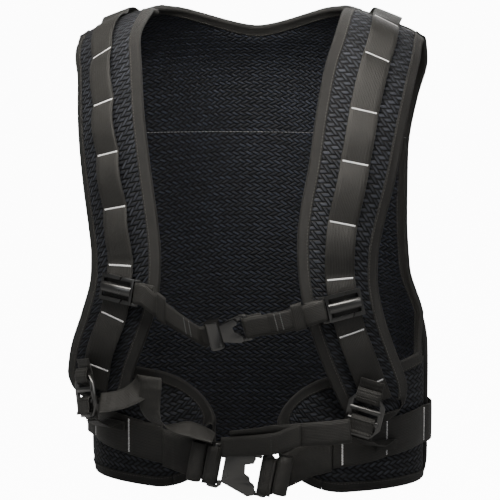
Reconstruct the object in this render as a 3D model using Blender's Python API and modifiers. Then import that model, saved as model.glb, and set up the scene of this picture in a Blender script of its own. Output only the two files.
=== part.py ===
"""Padded load harness vest: back panel, two belt wings, two shoulder straps, webbing and buckles.

Units are metres. +Z is up, -Y is the wearer's front, +X is the wearer's left. The hem stands on Z = 0.
Left and right in the names are the wearer's. Each pad is a stack of lining, foam and cover.
"""

import math

import bmesh
import bpy
from mathutils import Matrix, Vector

# ---- Driving dimensions -------------------------------------------------------------------------

GAP = 0.0004                 # between pieces that touch
LINING_THICK = 0.0014
FOAM_THICK = 0.0056
COVER_THICK = 0.0014
SHEET_THICK = 0.0012         # plastic frame sheet behind the back foam
FOAM_GAP = 0.0006            # each side of the foam
PAD_THICK = LINING_THICK + FOAM_THICK + COVER_THICK + 2 * FOAM_GAP
BACK_THICK = PAD_THICK + SHEET_THICK + GAP
FOAM_AT = LINING_THICK + FOAM_GAP       # distances of the layers from a pad's inner face
COVER_AT = FOAM_AT + FOAM_THICK + FOAM_GAP

TORSO_HALF_WIDTH = 0.169     # inner face of the belt, side to side
TORSO_HALF_DEPTH = 0.092     # inner face of the belt, front to back
SHOULDER_HALF_WIDTH = 0.190
WAIST_SHIFT = 0.009          # the belt hangs this far to the wearer's left of the shoulders' middle
WAIST_TOP, CHEST_BOTTOM = 0.14, 0.28   # heights between which the shift fades out
TO_MIDDLE = (-0.0034, 0.0144, 0)       # last move of the whole vest, which puts its middle on X = Y = 0

BINDING_RADIUS = 0.0044
BINDING_CLEARANCE = 0.0020   # between a pad's edge and its tape
HEM_HEIGHT = 2 * BINDING_RADIUS
PAD_BOTTOM = HEM_HEIGHT + BINDING_CLEARANCE
SEAM_GAP = 0.0012            # between the back panel and a wing
SEAM_ANGLE = math.radians(95)          # side seam, measured round the torso from the centre back
ARMHOLE_ANGLE = math.radians(63)
SHOULDER_ANGLE = math.radians(64.5)
NECK_ANGLE = math.radians(33.5)
NECK_SHARE = 0.55            # share of the panel's half width that the neckline takes at the top
NECKLINE_LOW = 0.805         # profile position of the neckline at the centre back
SHOULDER_SLOPE = 0.38
NECK_HALF_WIDTH = 0.098

WING_FRONT_GAP = 0.040       # half the gap between the two wings
WING_TOP_SIDE, WING_TOP_FRONT = 0.128, 0.114
WING_CORNER = 0.048          # radius of the wing's front corners
WING_TAPE_END = 0.25         # where the wing's edge tape meets the hem, as a position along the wing

SHOULDER_WEB, BELT_WEB, STERNUM_WEB, ADJUSTER_WEB = 0.030, 0.040, 0.022, 0.025
WEB_THICK = 0.0015
BELT_WEB_Z_SIDE, BELT_WEB_Z_FRONT = 0.063, 0.047
SLIDER_LIFT = 0.0052         # how far the shoulder webbing stands off the strap where a slider is
SLIDER_SPAN = 0.030          # half the length of that bulge

SLIDER_X, SLIDER_Y = 0.0183, 0.0135    # half sizes of the slider's frame
SLIDER_BAR_X, SLIDER_BAR_RADIUS = 0.0225, 0.0018
LOCK_HALF_WIDTH, LOCK_LENGTH, LOCK_THICK = 0.0190, 0.0400, 0.0030
BELT_BAR_X, BELT_BAR_RADIUS, BELT_RAIL_Y = 0.0270, 0.0040, 0.0232
CHEST_BAR_X, CHEST_BAR_RADIUS, CHEST_RAIL_Y = 0.0170, 0.0022, 0.0139
HOOD_INNER, HOOD_OUTER = 0.0056, 0.0078   # rounded hood over the chest buckle's front web bar
LOOP_CLEARANCE = 0.0006

ROUND_STEPS = 16

# ---- Control points, in metres ------------------------------------------------------------------

# Inner face of the back panel at the centre: (y, z), from the hem to the top of the shoulder.
BACK_PROFILE = [
    (0.092, PAD_BOTTOM), (0.090, 0.065), (0.087, 0.125), (0.087, 0.185), (0.091, 0.250),
    (0.096, 0.315), (0.096, 0.375), (0.086, 0.427), (0.062, 0.463), (0.034, 0.484), (0.011, 0.489),
]

# Shoulder straps, inner face: (x, y, z, half width, yaw of the outer face in degrees), top to bottom.
LEFT_STRAP = [(0.1385, 0.003, 0.4735, 0.0325, 20), (0.1375, -0.014, 0.4695, 0.0335, 18),
              (0.1350, -0.036, 0.4530, 0.0345, 15), (0.1285, -0.060, 0.4230, 0.0350, 13),
              (0.1215, -0.081, 0.3780, 0.0340, 12), (0.1155, -0.094, 0.3350, 0.0325, 12),
              (0.1060, -0.103, 0.2870, 0.0310, 13), (0.1025, -0.107, 0.2570, 0.0295, 14),
              (0.1040, -0.108, 0.2180, 0.0275, 15), (0.1125, -0.106, 0.1810, 0.0260, 15),
              (0.1225, -0.100, 0.1500, 0.0255, 15), (0.1355, -0.091, 0.1150, 0.0245, 15),
              (0.1450, -0.084, 0.0870, 0.0225, 15)]
RIGHT_STRAP = [(-0.1385, 0.003, 0.4735, 0.0325, -22), (-0.1400, -0.014, 0.4695, 0.0335, -25),
               (-0.1410, -0.036, 0.4530, 0.0345, -28), (-0.1365, -0.059, 0.4215, 0.0345, -30),
               (-0.1310, -0.080, 0.3765, 0.0340, -30), (-0.1235, -0.093, 0.3270, 0.0325, -27),
               (-0.1145, -0.102, 0.2700, 0.0310, -24), (-0.1120, -0.106, 0.2415, 0.0295, -21),
               (-0.1145, -0.107, 0.2090, 0.0275, -17), (-0.1260, -0.104, 0.1730, 0.0260, -14),
               (-0.1380, -0.097, 0.1420, 0.0255, -14), (-0.1435, -0.092, 0.1190, 0.0245, -14),
               (-0.1480, -0.088, 0.0980, 0.0225, -14)]
LEFT_SLIDER_Z, RIGHT_SLIDER_Z = 0.2025, 0.2140

# Shoulder webbing down the outside of the back.
# (torso angle in degrees at the wearer's left, profile position)
BACK_WEB_ROUTE = [
    (46.5, 0.985), (44.5, 0.93), (41, 0.86), (35, 0.76), (30, 0.62), (27, 0.45), (26, 0.30), (26, 0.175),
]
BACK_ROW_POSITIONS = [0.28, 0.41, 0.54, 0.67]
BACK_ROW_ANGLE = 20.0
BACK_ROW_WEB = 0.025

# Loose ends of the adjusting webs: (x, y, z) of the middle and (x, y, z) of the direction across the web.
RIGHT_TAIL = [
    ((-0.139, -0.119, 0.096), (0.0, -0.7, -0.7)), ((-0.125, -0.119, 0.098), (0.0, -0.7, -0.7)),
    ((-0.110, -0.118, 0.103), (0.2, -0.6, -0.7)), ((-0.096, -0.117, 0.112), (0.6, -0.4, -0.6)),
    ((-0.089, -0.118, 0.122), (0.9, -0.2, -0.3)), ((-0.086, -0.122, 0.124), (1.0, -0.2, 0.0)),
    ((-0.085, -0.124, 0.114), (0.9, -0.3, 0.0)), ((-0.086, -0.124, 0.100), (0.9, -0.3, 0.1)),
    ((-0.084, -0.123, 0.087), (0.8, -0.6, 0.3)), ((-0.076, -0.121, 0.077), (0.3, -0.9, 0.3)),
    ((-0.063, -0.119, 0.073), (0.0, -1.0, -0.1)), ((-0.050, -0.118, 0.072), (0.0, -0.9, -0.4)),
    ((-0.036, -0.116, 0.068), (0.0, -0.9, -0.4)), ((-0.022, -0.114, 0.062), (0.0, -1.0, -0.2)),
]
LEFT_TAIL = [
    ((0.118, -0.123, 0.076), (-0.1, 0.0, 1.0)), ((0.100, -0.123, 0.073), (0.0, 0.0, 1.0)),
    ((0.080, -0.122, 0.071), (0.0, -0.1, 1.0)), ((0.060, -0.121, 0.069), (0.0, -0.2, 1.0)),
    ((0.040, -0.120, 0.068), (0.0, -0.4, 0.9)), ((0.020, -0.120, 0.066), (0.0, -0.6, 0.8)),
    ((-0.004, -0.120, 0.064), (0.0, -0.7, 0.7)),
]

# Ladder locks: middle of the top bar, direction along the bar to +X, direction up the lock.
LEFT_LOCK = ((0.1345, -0.1130, 0.1060), (0.945, -0.150, -0.230), (-0.255, -0.020, 0.965))
RIGHT_LOCK = ((-0.1560, -0.1130, 0.1200), (0.640, -0.740, 0.210), (-0.130, 0.150, 0.980))

# Buckles: middle of the closed buckle, slope of its long axis in degrees, lean of its face in degrees.
BELT_BUCKLE = ((0.0037, -0.1090, 0.0288), -10.4, 0.0)
CHEST_BUCKLE = ((-0.0022, -0.1290, 0.1752), 14.0, 10.0)

COLOURS = {
    "lining": ((0.012, 0.014, 0.020), 0.85),
    "foam": ((0.10, 0.10, 0.11), 0.95),
    "cover": ((0.012, 0.012, 0.013), 0.80),
    "sheet": ((0.03, 0.03, 0.03), 0.55),
    "binding": ((0.030, 0.028, 0.024), 0.80),
    "webbing": ((0.028, 0.027, 0.025), 0.75),
    "plastic": ((0.020, 0.020, 0.020), 0.40),
}

# ---- Scene and materials ------------------------------------------------------------------------


def clear_scene():
    for obj in list(bpy.data.objects):
        bpy.data.objects.remove(obj, do_unlink=True)


def new_collection(name):
    found = bpy.data.collections.new(name)
    bpy.context.scene.collection.children.link(found)
    return found


def make_material(name):
    colour, roughness = COLOURS[name]
    made = bpy.data.materials.new(name)
    made.use_nodes = True
    shader = made.node_tree.nodes["Principled BSDF"]
    shader.inputs["Base Color"].default_value = (*colour, 1.0)
    shader.inputs["Roughness"].default_value = roughness
    shader.inputs["Metallic"].default_value = 0.0
    return made


clear_scene()
VEST = new_collection("harness_vest")
CUTTERS = new_collection("cutters")
MATERIALS = {name: make_material(name) for name in COLOURS}

# ---- Small helpers ------------------------------------------------------------------------------


def smoothstep(value, low, high):
    t = min(1.0, max(0.0, (value - low) / (high - low)))
    return t * t * (3 - 2 * t)


def spline_at(points, t):
    """Catmull-Rom curve through equally spaced points, t from 0 to 1. Points are tuples of any length."""
    spans = len(points) - 1
    at = min(max(t, 0.0), 1.0) * spans
    i = min(int(at), spans - 1)
    f = at - i
    before = points[i - 1] if i > 0 else tuple(2 * a - b for a, b in zip(points[0], points[1]))
    after = points[i + 2] if i + 2 <= spans else tuple(2 * a - b for a, b in zip(points[-1], points[-2]))
    return tuple(
        0.5 * (2 * b + (c - a) * f + (2 * a - 5 * b + 4 * c - d) * f * f + (3 * b - a - 3 * c + d) * f ** 3)
        for a, b, c, d in zip(before, points[i], points[i + 1], after)
    )


def add_object(name, mesh, material, helper=False):
    obj = bpy.data.objects.new(name, mesh)
    (CUTTERS if helper else VEST).objects.link(obj)
    if helper:
        obj.hide_render = True
        obj.display_type = "WIRE"
    else:
        mesh.materials.clear()
        mesh.materials.append(MATERIALS[material])
    return obj


def solidify(obj, thickness):
    modifier = obj.modifiers.new("thickness", "SOLIDIFY")
    modifier.thickness = thickness
    modifier.offset = 0.0
    return obj


def sheet(name, place, columns, rows, thickness, material, flip=False):
    """A surface, place(u, v) with u from -1 to 1 and v from 0 to 1, thickened to both sides."""
    made = bmesh.new()
    bmesh.ops.create_grid(made, x_segments=columns, y_segments=rows, size=1.0)
    for vert in made.verts:
        vert.co = place(vert.co.x, (vert.co.y + 1) / 2)
    mesh = bpy.data.meshes.new(name)
    made.to_mesh(mesh)
    made.free()
    if flip:
        mesh.flip_normals()
    mesh.shade_smooth()
    return solidify(add_object(name, mesh, material), thickness)


def ribbon(name, points, across, width, material="webbing", steps=None, thickness=WEB_THICK):
    """Flat webbing along a smooth curve through points, with a direction across it at each point."""
    steps = steps or 3 * (len(points) - 1)
    rows = [tuple(p) + tuple(a) for p, a in zip(points, across)]
    made = bmesh.new()
    previous = None
    for k in range(steps + 1):
        row = spline_at(rows, k / steps)
        middle, side = Vector(row[:3]), Vector(row[3:]).normalized() * (width / 2)
        pair = [made.verts.new(middle - side), made.verts.new(middle + side)]
        if previous:
            made.faces.new([previous[0], previous[1], pair[1], pair[0]])
        previous = pair
    mesh = bpy.data.meshes.new(name)
    made.to_mesh(mesh)
    made.free()
    mesh.shade_smooth()
    return solidify(add_object(name, mesh, material), thickness)


def mesh_from_curve(name, curve, material, helper=False):
    """A curve made into a mesh with its caps welded, as Boolean modifiers need."""
    holder = bpy.data.objects.new(name + "_curve", curve)
    bpy.context.scene.collection.objects.link(holder)
    bpy.context.view_layer.update()
    mesh = bpy.data.meshes.new_from_object(holder.evaluated_get(bpy.context.evaluated_depsgraph_get()))
    bpy.data.objects.remove(holder)
    made = bmesh.new()
    made.from_mesh(mesh)
    bmesh.ops.remove_doubles(made, verts=made.verts, dist=1e-6)
    made.to_mesh(mesh)
    made.free()
    mesh.name = name
    return add_object(name, mesh, material, helper)


def plate(name, outlines, low, high, material="plastic", helper=False):
    """A flat outline, with any holes, that fills local z from low to high."""
    curve = bpy.data.curves.new(name, "CURVE")
    curve.dimensions = "2D"
    curve.fill_mode = "BOTH"
    curve.extrude = (high - low) / 2
    for outline in outlines:
        spline = curve.splines.new("POLY")
        spline.points.add(len(outline) - 1)
        for point, (x, y) in zip(spline.points, outline):
            point.co = (x, y, 0, 1)
        spline.use_cyclic_u = True
    made = mesh_from_curve(name, curve, material, helper)
    made.data.transform(Matrix.Translation((0, 0, (low + high) / 2)))
    return made


def rectangle(x0, y0, x1, y1):
    return [(x0, y0), (x1, y0), (x1, y1), (x0, y1)]


def block(name, low, high, helper=True):
    """A box between two corners."""
    made = bmesh.new()
    bmesh.ops.create_cube(made, size=1.0)
    for vert in made.verts:
        vert.co = Vector(low[k] if vert.co[k] < 0 else high[k] for k in range(3))
    mesh = bpy.data.meshes.new(name)
    made.to_mesh(mesh)
    made.free()
    return add_object(name, mesh, "plastic", helper)


def rod(name, middle, radius, length, squash=1.0, helper=True, material="plastic", axis="y"):
    """A round bar; squash flattens it front to back."""
    made = bmesh.new()
    bmesh.ops.create_cone(
        made, cap_ends=True, segments=ROUND_STEPS, radius1=radius, radius2=radius, depth=length
    )
    turn = Matrix.Rotation(math.pi / 2, 4, {"y": "X", "x": "Y"}[axis])
    mesh = bpy.data.meshes.new(name)
    made.to_mesh(mesh)
    made.free()
    mesh.transform(Matrix.Translation(middle) @ Matrix.Diagonal((1, 1, squash, 1)) @ turn)
    return add_object(name, mesh, material, helper)


def boolean(target, others, operation="UNION"):
    for other in others:
        modifier = target.modifiers.new(other.name, "BOOLEAN")
        modifier.operation = operation
        modifier.solver = "EXACT"
        modifier.object = other
    return target


def frame_of(origin, x_axis, y_hint):
    """A placement with its x axis given and its y axis as near y_hint as it can be."""
    x = Vector(x_axis).normalized()
    z = x.cross(Vector(y_hint)).normalized()
    y = z.cross(x)
    return Matrix.Translation(origin) @ Matrix((x, y, z)).transposed().to_4x4()


def empty_at(name, placement):
    """A joint's empty, with its axis along local y."""
    made = bpy.data.objects.new(name, None)
    VEST.objects.link(made)
    made.empty_display_size = 0.02
    made.matrix_world = placement
    return made


def attach(parts, parent, placement=None):
    """Parts drawn in local axes are placed by their parent; parts drawn in place keep their place."""
    for part in parts:
        part.parent = parent
        if placement is None:
            part.matrix_parent_inverse = parent.matrix_world.inverted()
        else:
            part.matrix_parent_inverse = parent.matrix_world.inverted() @ placement
    return parts


# ---- The torso surface --------------------------------------------------------------------------


def waist_shift(z):
    return WAIST_SHIFT * (1 - smoothstep(z, WAIST_TOP, CHEST_BOTTOM))


def back_point(angle, t):
    """Inner face of the back panel: angle round the torso from the centre back, t up the profile."""
    y, z = spline_at(BACK_PROFILE, t)
    widening = smoothstep(z, 0.34, 0.47)
    half_width = TORSO_HALF_WIDTH + (SHOULDER_HALF_WIDTH - TORSO_HALF_WIDTH) * widening
    x = half_width * math.sin(angle)
    depth = y if math.cos(angle) > 0 else TORSO_HALF_DEPTH
    drop = SHOULDER_SLOPE * smoothstep(z, 0.40, 0.489) * max(0.0, abs(x) - NECK_HALF_WIDTH)
    return Vector((x + waist_shift(z), depth * math.cos(angle), z - drop))


def belt_point(angle, z):
    """Inner face of the belt wings."""
    return Vector((WAIST_SHIFT + TORSO_HALF_WIDTH * math.sin(angle), TORSO_HALF_DEPTH * math.cos(angle), z))


def offset_point(surface, a, b, distance):
    """A point of surface(a, b) moved outwards along its normal."""
    step = 1e-4
    along_a = surface(a + step, b) - surface(a - step, b)
    along_b = surface(a, b + step) - surface(a, b - step)
    return surface(a, b) + along_b.cross(along_a).normalized() * distance


def armhole_angle(t):
    """Half angle of the back panel at profile position t, from the side seam up to the shoulder."""
    _, z = spline_at(BACK_PROFILE, t)
    waist = SEAM_ANGLE + (ARMHOLE_ANGLE - SEAM_ANGLE) * smoothstep(z, WING_TOP_SIDE - 0.006, 0.220)
    return waist + (SHOULDER_ANGLE - ARMHOLE_ANGLE) * smoothstep(z, 0.30, 0.47)


def panel_outline(u, v):
    """Maps the unit panel to (angle, t): straight hem, armhole sides, shoulders and a curved neckline."""
    share = abs(u)
    if share >= NECK_SHARE:
        top_t = 1.0
        top_angle = NECK_ANGLE + (SHOULDER_ANGLE - NECK_ANGLE) * (share - NECK_SHARE) / (1 - NECK_SHARE)
    else:
        top_t = NECKLINE_LOW + (1 - NECKLINE_LOW) * (share / NECK_SHARE) ** 1.6
        top_angle = NECK_ANGLE * share / NECK_SHARE
    t = v * top_t
    spread = share + (top_angle / SHOULDER_ANGLE - share) * smoothstep(v, 0.35, 1.0)
    return math.copysign(spread * armhole_angle(t), u), t


def panel_layer(name, inner, thickness, material):
    def place(u, v):
        angle, t = panel_outline(u, v)
        return offset_point(back_point, angle, t, inner + thickness / 2)
    return sheet(name, place, 16, 28, thickness, material, flip=True)


# ---- Belt wings ---------------------------------------------------------------------------------


def wing_front_angle():
    return math.pi - math.asin(WING_FRONT_GAP / TORSO_HALF_WIDTH)


def wing_outline(side, u, v):
    """Maps the unit wing to (angle, z): u runs from the side seam to the rounded front end."""
    length = (wing_front_angle() - SEAM_ANGLE) * (TORSO_HALF_WIDTH + TORSO_HALF_DEPTH) / 2
    share = (u + 1) / 2
    along = 1 - (1 - share) ** 1.6 if share > 0 else 0.0
    to_end = (1 - along) * length
    rounding = WING_CORNER - math.sqrt(max(0.0, WING_CORNER ** 2 - max(0.0, WING_CORNER - to_end) ** 2))
    top = WING_TOP_SIDE + (WING_TOP_FRONT - WING_TOP_SIDE) * smoothstep(along, 0.0, 0.7)
    low, high = PAD_BOTTOM + rounding * 0.95, top - rounding
    seam = SEAM_ANGLE + SEAM_GAP / TORSO_HALF_DEPTH
    angle = seam + (wing_front_angle() - seam) * along
    return side * angle, low + (high - low) * v


def wing_layer(name, side, inner, thickness, material):
    def place(u, v):
        angle, z = wing_outline(side, u, v)
        return offset_point(belt_point, angle, z, inner + thickness / 2)
    return sheet(name, place, 12, 5, thickness, material, flip=side > 0)


# ---- Shoulder straps ----------------------------------------------------------------------------


def strap_frame(stations, s):
    """Middle of the strap's inner face, and its along, across and outward directions, at s from 0 to 1."""
    step = 0.004
    row = spline_at(stations, s)
    ahead, behind = spline_at(stations, min(1, s + step)), spline_at(stations, max(0, s - step))
    along = Vector(a - b for a, b in zip(ahead[:3], behind[:3])).normalized()
    side = math.copysign(1, stations[0][0])
    yaw = math.radians(row[4])
    top = 1 - smoothstep(s, 0.0, 0.22)
    level = Vector((math.sin(yaw), -math.cos(yaw), 0)).cross(along).normalized()
    across = level.lerp(Vector((0.94, -0.07 * side, -0.34 * side)), top).normalized()
    outward = along.cross(across).normalized()
    return Vector(row[:3]), along, across, outward, row[3]


def strap_point(stations, q, s, distance):
    """A point of the strap, q from -1 to 1 across it, at a distance out from its inner face."""
    middle, _, across, outward, half_width = strap_frame(stations, s)
    end = max(0.0, (s - 0.93) / 0.07)
    half_width *= math.sqrt(max(0.0, 1 - (0.86 * end) ** 2))
    crown = 0.003 * q * q
    return middle + across * (q * half_width) + outward * (distance - crown)


def strap_layer(name, stations, inner, thickness, material):
    def place(u, v):
        return strap_point(stations, u, v, inner + thickness / 2)
    return sheet(name, place, 4, 22, thickness, material, flip=True)


def strap_position(stations, z):
    """The s at which the strap's middle is at height z."""
    low, high = 0.2, 1.0
    for _ in range(40):
        middle = (low + high) / 2
        if spline_at(stations, middle)[2] > z:
            low = middle
        else:
            high = middle
    return low


def slider_placement(stations, z):
    """Local axes of a slider: origin in the webbing, x to the wearer's left, z outwards."""
    s = strap_position(stations, z)
    middle, along, across, outward, _ = strap_frame(stations, s)
    return frame_of(middle + outward * (PAD_THICK + SLIDER_LIFT), across, -along)


# ---- Bindings -----------------------------------------------------------------------------------


def edge_tape(name, edge, side=1.0):
    """Tape as a round tube just outside a pad's edge, from (point, outward direction of the pad) pairs."""
    curve = bpy.data.curves.new(name, "CURVE")
    curve.dimensions = "3D"
    curve.bevel_depth = BINDING_RADIUS
    curve.bevel_resolution = 1
    curve.use_fill_caps = True
    spline = curve.splines.new("POLY")
    spline.points.add(len(edge) - 1)
    for k, (place, outward) in enumerate(edge):
        along = edge[min(k + 1, len(edge) - 1)][0] - edge[max(k - 1, 0)][0]
        away = along.cross(outward).normalized() * side
        spline.points[k].co = (*(place + away * (BINDING_RADIUS + BINDING_CLEARANCE)), 1)
    return mesh_from_curve(name, curve, "binding")


def pad_edge(surface, a, b, thickness):
    """A point in the middle of a pad's edge, with the outward direction there."""
    inner, outer = offset_point(surface, a, b, 0), offset_point(surface, a, b, thickness)
    return (inner + outer) / 2, (outer - inner).normalized()


def neck_binding():
    shares = [NECK_SHARE * (k / 10 - 1) * 0.99 for k in range(21)]
    edge_tape("neck_binding", [pad_edge(back_point, *panel_outline(u, 1.0), BACK_THICK) for u in shares])


def side_binding(name, side):
    """From the shoulder's outer end, down the armhole, along the wing's top and round its front end."""
    edge = [pad_edge(back_point, *panel_outline(side, 0.985 - k * 0.023), BACK_THICK) for k in range(31)]
    top = [-0.80, -0.60, -0.40, -0.20, 0.0, 0.2, 0.38, 0.52, 0.64, 0.74, 0.84, 0.93, 1.0]
    edge += [pad_edge(belt_point, *wing_outline(side, u, 1.0), PAD_THICK) for u in top]
    low = [1.0, 0.93, 0.84, 0.74, 0.64, 0.52, 0.40, WING_TAPE_END]
    edge += [pad_edge(belt_point, *wing_outline(side, u, 0.0), PAD_THICK) for u in low]
    edge_tape(name, edge, side)


def hem_binding():
    """Tape along the bottom edge, a flat strip that the vest stands on."""
    end = wing_outline(1, WING_TAPE_END, 0.0)[0] - 0.008

    def place(u, v):
        return offset_point(belt_point, u * end, HEM_HEIGHT * v, PAD_THICK / 2)
    return sheet("hem_binding", place, 44, 1, PAD_THICK, "binding", flip=True)


def strap_binding(name, stations):
    """Tape round the strap: down one edge, round the bottom end and up the other."""
    down = [0.015 + 0.075 * k for k in range(13)] + [0.94, 0.955, 0.968, 0.98, 0.99]

    def at(q, s):
        return strap_point(stations, q, s, PAD_THICK / 2), strap_frame(stations, s)[3]
    edge = [at(-1, s) for s in down]
    edge += [at(q, 1.0) for q in (-1, -0.5, 0, 0.5, 1)]
    edge += [at(1, s) for s in reversed(down)]
    edge_tape(name, edge)


# ---- Webbing sewn to the vest -------------------------------------------------------------------


def shoulder_webbing(name, stations, slider_z):
    """Daisy chain from the strap's lower end, over the shoulder and down the back to the belt."""
    slider_s = strap_position(stations, slider_z)
    slider_middle = strap_frame(stations, slider_s)[0]
    side = math.copysign(1, stations[0][0])
    points, across = [], []
    for k in range(27):
        s = 0.955 - k * 0.036
        middle, _, sideways, outward, _ = strap_frame(stations, s)
        near = (middle - slider_middle).length / SLIDER_SPAN
        lift = GAP + WEB_THICK / 2
        if near < 1:
            lift += (SLIDER_LIFT - lift) * (1 - smoothstep(near, 0.45, 1.0))
        points.append(middle + outward * (PAD_THICK + lift))
        across.append(sideways)
    for k in range(15):
        degrees, t = spline_at(BACK_WEB_ROUTE, k / 14)
        angle = side * math.radians(degrees)
        points.append(offset_point(back_point, angle, t, BACK_THICK + GAP + WEB_THICK / 2 + 0.0006))
        ahead = offset_point(back_point, angle + 0.05, t, BACK_THICK)
        across.append((ahead - offset_point(back_point, angle - 0.05, t, BACK_THICK)).normalized())
    return ribbon(name, points, across, SHOULDER_WEB, steps=74)


def belt_web_height(angle):
    return BELT_WEB_Z_SIDE + (BELT_WEB_Z_FRONT - BELT_WEB_Z_SIDE) * smoothstep(abs(angle), 1.75, 2.8)


def belt_webbing():
    """Daisy chain round the belt, from one wing's front to the other, over the back panel."""
    end = 2.62
    points, across = [], []
    for k in range(33):
        angle = -end + 2 * end * k / 32
        z = belt_web_height(angle)
        extra = (BACK_THICK - PAD_THICK) * (1 - smoothstep(abs(angle), SEAM_ANGLE, SEAM_ANGLE + 0.15))
        lift = PAD_THICK + GAP + WEB_THICK / 2 + extra
        points.append(offset_point(belt_point, angle, z, lift))
        across.append(Vector((0, 0, 1)))
    return ribbon("belt_webbing", points, across, BELT_WEB, steps=64)


def back_row(name, t):
    """One horizontal attachment row between the two vertical webs of the back."""
    points, across = [], []
    for k in range(7):
        angle = math.radians(BACK_ROW_ANGLE * (k / 3 - 1))
        points.append(offset_point(back_point, angle, t, BACK_THICK + GAP + WEB_THICK / 2 + 0.0004))
        across.append(back_point(angle, t + 0.01) - back_point(angle, t - 0.01))
    return ribbon(name, points, [a.normalized() for a in across], BACK_ROW_WEB, steps=12)


# ---- Hardware -----------------------------------------------------------------------------------


def slider_frame(name, bar_side):
    """Clip round the shoulder webbing: front frame with three bars, rear plate, and the sternum web's bar."""
    x, y = SLIDER_X, SLIDER_Y
    slot_x = x - 0.0030
    front = plate(name, [rectangle(-x, -y, x, y), rectangle(-slot_x, 0.0052, slot_x, 0.0098),
                         rectangle(-slot_x, -0.0098, slot_x, -0.0052)], 0.0016, 0.0044)
    rear = block(name + "_rear", (-x, -0.0070, -0.0036), (x, 0.0070, -0.0018))
    walls = [block(f"{name}_wall_{k}", (min(a, b), -0.0070, -0.0030), (max(a, b), 0.0070, 0.0030))
             for k, (a, b) in enumerate([(-x, -x + 0.0016), (x - 0.0016, x)])]
    roll = rod(name + "_roll", (0, 0, 0.0040), 0.0046, 2 * slot_x + 0.002, squash=0.55, axis="x")
    far = bar_side * SLIDER_BAR_X
    low_x, high_x = sorted((bar_side * (x - 0.001), far))
    arms = [block(f"{name}_arm_{k}", (low_x, at - 0.0011, -0.0016), (high_x, at + 0.0011, 0.0034))
            for k, at in enumerate((-0.0124, 0.0124))]
    bar = rod(name + "_bar", (far, 0, 0.0009), SLIDER_BAR_RADIUS, 0.0265)
    return boolean(front, [rear, *walls, roll, *arms, bar])


def split_cuts(frame):
    """Slanted slits through the top and bottom bars, by which the clip is slipped on the webbing."""
    cuts = []
    for k, (at, low, high) in enumerate(((0.004, 0.0090, 0.0150), (0.007, -0.0150, -0.0090))):
        outline = [(at - 0.0026, low), (at - 0.0014, low), (at + 0.0016, high), (at + 0.0004, high)]
        cuts.append(plate(f"{frame.name}_slit_{k}", [outline], 0.0005, 0.0060, helper=True))
    return boolean(frame, cuts, "DIFFERENCE")


def ladder_lock(name):
    """Tension lock: top bar for its web loop, two cross bars and a thumb lip. Origin on the top bar."""
    w, end = LOCK_HALF_WIDTH, -LOCK_LENGTH
    outline = [(-w + 0.006, 0.0030), (w - 0.006, 0.0030), (w, -0.0050), (w, end + 0.0110),
               (w - 0.0075, end + 0.0015), (w - 0.0130, end), (-w + 0.0130, end),
               (-w + 0.0075, end + 0.0015), (-w, end + 0.0110), (-w, -0.0050)]
    inner = w - 0.0050
    slots = [rectangle(-inner, -0.0090, inner, -0.0022), rectangle(-inner, -0.0205, inner, -0.0140),
             rectangle(-inner, -0.0320, inner, -0.0260)]
    half = LOCK_THICK / 2
    frame = plate(name, [outline, *slots], -half, half)
    long = 2 * inner + 0.004
    ridges = [rod(f"{name}_ridge_{k}", (0, at, half - 0.0003), 0.0022, long, squash=0.7, axis="x")
              for k, at in enumerate((-0.0115, -0.0232))]
    lip = block(name + "_lip", (-0.0100, end + 0.0006, 0), (0.0100, end + 0.0050, half + 0.0018))
    return boolean(frame, [*ridges, lip])


def arc_points(radius, start, stop, count, middle=(0, 0)):
    """Points (x, z) round a bar, angles in degrees."""
    steps = [math.radians(start + (stop - start) * k / (count - 1)) for k in range(count)]
    return [(middle[0] + radius * math.cos(a), middle[1] + radius * math.sin(a)) for a in steps]


def scaled(outline, scale):
    return [(x * scale, y * scale) for x, y in outline]


def buckle_arms(name, side, bar_x, bar_radius, rail_y, root, inner_y, low, high):
    """The two arms that hold a web bar, from the plate's edge at root to past the bar."""
    arms = []
    web = rail_y - 0.0025
    inner_x = bar_x - bar_radius - LOOP_CLEARANCE - 0.0024
    for k, (way, start) in enumerate(((1, inner_y[0]), (-1, inner_y[1]))):
        outline = [(root, start), (inner_x, start), (inner_x + 0.0004, web), (bar_x + 0.0012, web),
                   (bar_x + 0.0012, rail_y), (inner_x, rail_y),
                   (root, start + 0.4 * (rail_y - start) + 0.0010)]
        turned = [(side * x, way * y) for x, y in outline]
        arms.append(plate(f"{name}_arm_{k}", [turned], low, high, helper=True))
    return arms


def buckle_front(name, bar_x, bar_radius, rail_y, scale):
    """Front half: web bar on the wearer's right, flared and notched plate, V rib behind it."""
    near, low, high = -bar_x + 0.0104 * scale, 0.0008, 0.0008 + 0.0034 * scale
    outline = scaled([(0.0125, -0.0250), (0.0190, -0.0225), (0.0185, -0.0140), (0.0165, -0.0112),
                      (0.0131, -0.0098), (0.0112, -0.0048), (0.0062, -0.0026), (0.0049, 0.0070),
                      (0.0135, 0.0100), (0.0150, 0.0150), (0.0100, 0.0215)], scale)
    face = plate(name, [[(near, -0.0155 * scale), *outline, (near, 0.0140 * scale)]], low, high)
    inner_y = (0.0098 * scale, 0.0150 * scale)
    arms = buckle_arms(name, -1, bar_x, bar_radius, rail_y, -near - 0.0008, inner_y, -0.0014, high - 0.0006)
    bar = rod(name + "_bar", (-bar_x, 0, 0), bar_radius, 2 * rail_y - 0.001)
    rib = plate(name + "_rib", [scaled([(-0.0095, 0.0080), (-0.0020, -0.0100), (0.0025, 0.0065)], scale)],
                -0.0016 * scale, low + 0.001, helper=True)
    return boolean(face, [*arms, bar, rib])


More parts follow.
